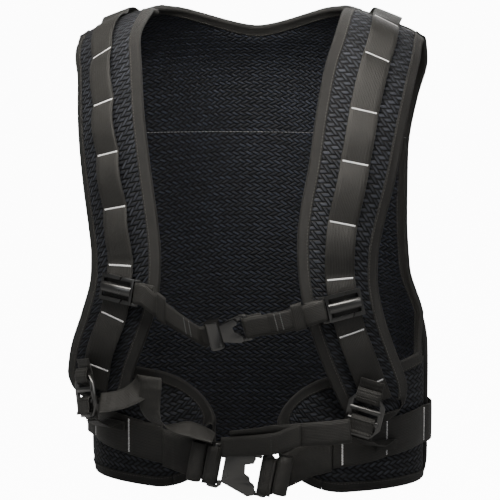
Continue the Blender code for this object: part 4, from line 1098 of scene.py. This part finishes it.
def dress_sternum_web(name, rows):
    """The web's spare length folded back over its front, a keeper band round both, and a box stitch."""
    body = f"{name}_sternum_web"
    rows, at = resample(rows, 0.001)
    first, last = (0.36, 0.80) if name == "right" else (0.34, 0.62)
    doubled, normals = [], []
    for k, (middle, side) in enumerate(rows[:-1]):
        share = at[k] / at[-1]
        if not first < share < last:
            continue
        normal = toward((rows[k + 1][0] - middle).cross(side).normalized(), FRONT)
        ease = smoothstep(share, first, first + 0.05) * (1 - smoothstep(share, last - 0.05, last))
        lift = WEB_THICK * (0.35 + 0.80 * ease)
        doubled.append((middle + normal * lift + side * 0.0016, side))
        normals.append(normal)
    layer = web_mesh(f"{name}_sternum_layer", doubled, STERNUM_WEB * 0.94)
    finish_piece(layer, body, "webbing")
    k = len(doubled) // 6
    middle, side = doubled[k]
    normal = normals[k]
    along = heading(doubled, k).normalized()
    half_wide, half_deep = STERNUM_WEB / 2 + 0.0022, WEB_THICK + 0.0011
    band = []
    for step in range(33):
        turn = 2 * math.pi * step / 32
        wide = half_wide * math.copysign(abs(math.cos(turn)) ** 0.45, math.cos(turn))
        deep = half_deep * math.copysign(abs(math.sin(turn)) ** 0.45, math.sin(turn))
        band.append((middle - normal * (WEB_THICK / 2) + side * wide + normal * deep, along))
    keeper = web_mesh(f"{name}_sternum_keeper", band, 0.0110, 0.0011)
    finish_piece(keeper, body, "webbing")
    marks = []
    k = int(0.72 * len(doubled))
    middle, side = doubled[k]
    along = heading(doubled, k).normalized()
    for across in (-0.003, 0.003):
        spot = middle + along * across + normals[k] * (WEB_THICK / 2 + THREAD_LIFT)
        marks += tack_rows(spot, side, along, normals[k], STERNUM_WEB * 0.72, count=9, stroke=0.0009)
    stitches(f"{name}_sternum_box_stitch", marks, 0.00035, GREY_THREAD, body=body)


def make_belt_ends():
    """Belt ends round the buckle's bars, with the spare length wound into a roll in front of each."""
    placement = buckle_placement(BELT_BUCKLE)
    thick = 0.0020
    r = BELT_BAR_RADIUS + LOOP_CLEARANCE + thick / 2
    up = placement.to_3x3() @ Vector((0, 1, 0))
    for name, side, rise in (("right", -1, 0.001), ("left", 1, 0.005)):
        bar_x = side * BELT_BAR_X
        rows = []
        for k, (degrees, lift) in enumerate(((150.5, 0.0008), (154.5, 0.0012), (158, 0.0020))):
            angle = side * math.radians(degrees)
            z = belt_web_height(angle) - 0.002 - 0.002 * k
            over_belt = PAD_THICK + 2 * SHEET_GAP + WEB_THICK + thick / 2 + lift
            rows.append((offset_point(belt_point, angle, z, over_belt), Vector((0, 0, 1))))
        path = [(0.0095, -r), (0.0045, -r), *arc_points(r, 270, 90, 9)]
        path += [(0.0060, r + 0.0003), (0.0085, r + 0.0010)]
        rows += [(placement @ Vector((bar_x + side * x, 0, z)), up) for x, z in path]
        web(f"{name}_belt_end_web", rows, BELT_WEB, steps=110, thickness=thick)
        make_roll(name, placement, bar_x + side * 0.0180, rise, side)


def make_roll(name, placement, x, rise, side):
    """Spare belt web wound tight: a spiral from its middle out to its loose end."""
    turns, outer = 3.6, 0.0076
    rows = []
    up = placement.to_3x3() @ Vector((0, 1, 0))
    for k in range(150):
        share = k / 149
        turn = 2 * math.pi * turns * share
        radius = 0.0012 + (outer - 0.0012) * share
        local = Vector((x + side * radius * math.cos(turn), rise, 0.0052 + 0.80 * radius * math.sin(turn)))
        rows.append((placement @ local, up))
    made = web_mesh(f"{name}_belt_roll", rows, BELT_WEB + 0.001, 0.0014)
    finish_piece(made, "vest", "webbing", f"{name}_belt_web_roll")


def make_tail(name, rows):
    return web(name, [(Vector(p), Vector(a).normalized()) for p, a in rows], ADJUSTER_WEB)


def make_tail_hem(name, rows):
    """The end of a tail folded back over its front and sewn, a little askew."""
    last = rows[-28:]
    ahead = (last[-1][0] - last[-2][0]).normalized()
    last += [(last[-1][0] + ahead * distance, last[-1][1]) for distance in (0.003, 0.006, 0.009)]
    drop = Vector((0, 0, -0.0085))
    folded = []
    for k, (middle, side) in enumerate(last):
        share = k / (len(last) - 1)
        front = middle + FRONT * (WEB_THICK + 0.0006) + drop * smoothstep(share, 0.0, 0.4)
        folded.append((front, side.lerp(Vector((0, 0, 1)), 0.5)))
    finish_piece(web_mesh(f"{name}_hem", folded, ADJUSTER_WEB * 0.96), "vest", "webbing")
    middle, side = folded[12]
    along = heading(folded, 12).normalized()
    normal = toward(along.cross(side).normalized(), FRONT)
    spot = middle + normal * (WEB_THICK / 2 + THREAD_LIFT)
    marks = tack_rows(spot, side.normalized(), along, normal, 0.018, count=9, stroke=0.0009)
    stitches(f"{name}_hem_stitch", marks, 0.00035, DARK_THREAD)


def make_lining_seam(back):
    """The stitched line across the inside of the back, laid on the swollen lining."""
    bpy.context.view_layer.update()
    t = bisect(lambda t: spline_at(BACK_PROFILE, t)[1] < LINING_SEAM_Z)
    points, normals = [], []
    for degrees in spaced(-74, 74, 90):
        point, normal = surface_at(back_point, math.radians(degrees), t)
        hit, place, _, _ = back.ray_cast(point + TO_MIDDLE - normal * 0.02, normal)
        points.append((place - TO_MIDDLE if hit else point) - normal * 0.0002)
        normals.append(-normal)
    rows = seam_rows(points, normals, 0.0032, 0.0006)
    stitches("lining_seam_stitches", rows, 0.00024, GREY_THREAD, slot="lining")


def make_side_seam(name, side):
    """The bound seam between the back panel and a wing, sunk between their edges."""
    angle = side * (SEAM_ANGLE + 0.5 * SEAM_GAP / TORSO_HALF_WIDTH)
    rows = []
    for z in spaced(0.006, WING_TOP_SIDE + 0.005, 28):
        ahead, behind = belt_point(angle + 0.02, z), belt_point(angle - 0.02, z)
        rows.append((offset_point(belt_point, angle, z, PAD_THICK / 2), (ahead - behind).normalized()))
    finish_piece(web_mesh(f"{name}_side_seam", rows, SEAM_BAND, 0.0050, TAPE), "vest", "binding")


def make_shoulder_seam(name, stations, side):
    """The cloth that joins the top of a strap to the back panel, inside the pads' thickness."""
    s = 0.030
    _, _, across, outward, _ = strap_frame(stations, s)
    start = strap_at(stations, 0, s)[0] + outward * (PAD_THICK / 2)
    angle = side * (NECK_ANGLE + SHOULDER_ANGLE) / 2
    end_t = 0.972
    end = offset_point(back_point, angle, end_t, PAD_THICK / 2)
    sideways = toward(sideways_on(back_point, angle, end_t), across)
    rows = []
    for k in range(13):
        crown = outward * (0.0016 * math.sin(math.pi * k / 12))
        rows.append((start.lerp(end, k / 12) + crown, across.lerp(sideways, k / 12)))
    finish_piece(web_mesh(f"{name}_shoulder_seam", rows, SHOULDER_SEAM, 0.0060, TAPE), "vest", "binding")


# ---- Hardware -------------------------------------------------------------------------------------------


def polish(node, material, width=0.0005):
    """A moulded CAD part keeps its shape, and gets softened edges and its material."""
    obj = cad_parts[node]
    obj.data.materials.clear()
    obj.data.materials.append(material)
    weld = obj.modifiers.new("weld", "WELD")
    weld.merge_threshold = 0.00001
    bevel = obj.modifiers.new("soft_edges", "BEVEL")
    bevel.width = width
    bevel.segments = 2
    bevel.limit_method = "ANGLE"
    bevel.angle_limit = math.radians(40)
    bevel.use_clamp_overlap = True
    obj.data.shade_smooth()
    return obj


# ---- Stage ----------------------------------------------------------------------------------------------


AMBIENT = 0.12               # brightness of the stage as the vest receives it
BACKDROP = 12.0              # brightness of the stage as the camera sees it


def seen_only(tree, strength):
    """A brightness that the camera sees, and that casts little light on the vest."""
    path = tree.nodes.new("ShaderNodeLightPath")
    share = tree.nodes.new("ShaderNodeMath")
    share.operation = "MULTIPLY_ADD"
    tree.links.new(path.outputs["Is Camera Ray"], share.inputs[0])
    share.inputs[1].default_value = strength - AMBIENT
    share.inputs[2].default_value = AMBIENT
    return share.outputs[0]


def make_stage():
    floor_mesh = bpy.data.meshes.new("floor")
    size = 9.0
    corners = [(-size, -size, 0), (size, -size, 0), (size, size, 0), (-size, size, 0)]
    floor_mesh.from_pydata(corners, [], [(0, 1, 2, 3)])
    n = Nodes("pale_floor", Roughness=0.9, Specular_IOR_Level=0.1)
    n.shader.inputs["Base Color"].default_value = (0.30, 0.30, 0.30, 1)
    n.shader.inputs["Emission Color"].default_value = (1, 1, 1, 1)
    n.put(n.shader.inputs["Emission Strength"], seen_only(n.tree, BACKDROP))
    floor_mesh.materials.append(n.material)
    floor = bpy.data.objects.new("floor", floor_mesh)
    link(floor)
    world = bpy.data.worlds.new("studio")
    world.use_nodes = True
    background = world.node_tree.nodes["Background"]
    background.inputs["Color"].default_value = (1, 1, 1, 1)
    world.node_tree.links.new(seen_only(world.node_tree, BACKDROP), background.inputs["Strength"])
    bpy.context.scene.world = world


def area_light(name, place, target, size, power, colour=(1, 1, 1)):
    data = bpy.data.lights.new(name, "AREA")
    data.shape = "RECTANGLE"
    data.size, data.size_y = size
    data.energy = power
    data.color = colour
    light = bpy.data.objects.new(name, data)
    light.location = place
    light.rotation_euler = (Vector(target) - Vector(place)).to_track_quat("-Z", "Y").to_euler()
    link(light)


def make_camera():
    target = Vector((0, 0, 0.240)) + TO_MIDDLE
    azimuth, elevation, distance = math.radians(7.5), math.radians(7.5), 2.2
    back = Vector((math.sin(azimuth) * math.cos(elevation), -math.cos(azimuth) * math.cos(elevation),
                   math.sin(elevation)))
    data = bpy.data.cameras.new("camera")
    data.lens = 150
    camera = bpy.data.objects.new("camera", data)
    camera.location = target + back * distance
    camera.rotation_euler = (-back).to_track_quat("-Z", "Y").to_euler()
    link(camera)
    bpy.context.scene.camera = camera


# ---- Assembly -------------------------------------------------------------------------------------------

make_stage()
make_camera()
area_light("key", (-0.05, -0.38, 0.78), (0, -0.02, 0.43), (0.8, 0.3), 9.0, (1.0, 0.955, 0.88))
area_light("crown", (-0.02, -0.24, 0.70), (0, -0.03, 0.45), (0.45, 0.12), 2.0, (1.0, 0.955, 0.88))
area_light("front", (-0.9, -1.6, 0.9), (0, 0, 0.25), (0.8, 0.8), 3.7, (0.95, 0.98, 1.0))
area_light("side", (1.2, -0.9, 0.9), (0, 0, 0.25), (0.5, 0.9), 4.4)
area_light("back", (0.2, 1.3, 1.0), (0, 0, 0.3), (1.0, 0.8), 10)

BACK = make_back()
make_neck_tape()
make_hem_tape()
make_lining_seam(BACK)
make_belt_webbing()
make_back_rows()
SIDES = (("right", -1, RIGHT_STRAP, RIGHT_SLIDER_Z, RIGHT_TACKS, RIGHT_LOCK),
         ("left", 1, LEFT_STRAP, LEFT_SLIDER_Z, LEFT_TACKS, LEFT_LOCK))
for NAME, SIDE, STRAP, SLIDER_Z, TACKS, LOCK in SIDES:
    make_wing(NAME, SIDE)
    make_side_tape(NAME, SIDE)
    make_strap(NAME, STRAP)
    make_strap_tape(NAME, STRAP)
    make_side_seam(NAME, SIDE)
    make_shoulder_seam(NAME, STRAP, SIDE)
    make_shoulder_webbing(NAME, STRAP, SLIDER_Z, TACKS)
    make_lock_webs(NAME, LOCK, SIDE)
    polish(f"{NAME}_slider", PLASTIC)
    polish(f"{NAME}_ladder_lock", PLASTIC)
make_sternum_webs()
make_belt_ends()
make_tail("right_web_tail", RIGHT_TAIL)
make_tail_hem("left_web_tail", make_tail("left_web_tail", LEFT_TAIL))
for NAME in ("belt_buckle_front_half", "belt_buckle_rear_half"):
    polish(NAME, PLASTIC, 0.0009)
for NAME in ("chest_buckle_front_half", "chest_buckle_rear_half"):
    polish(NAME, GLOSS_PLASTIC, 0.0006)
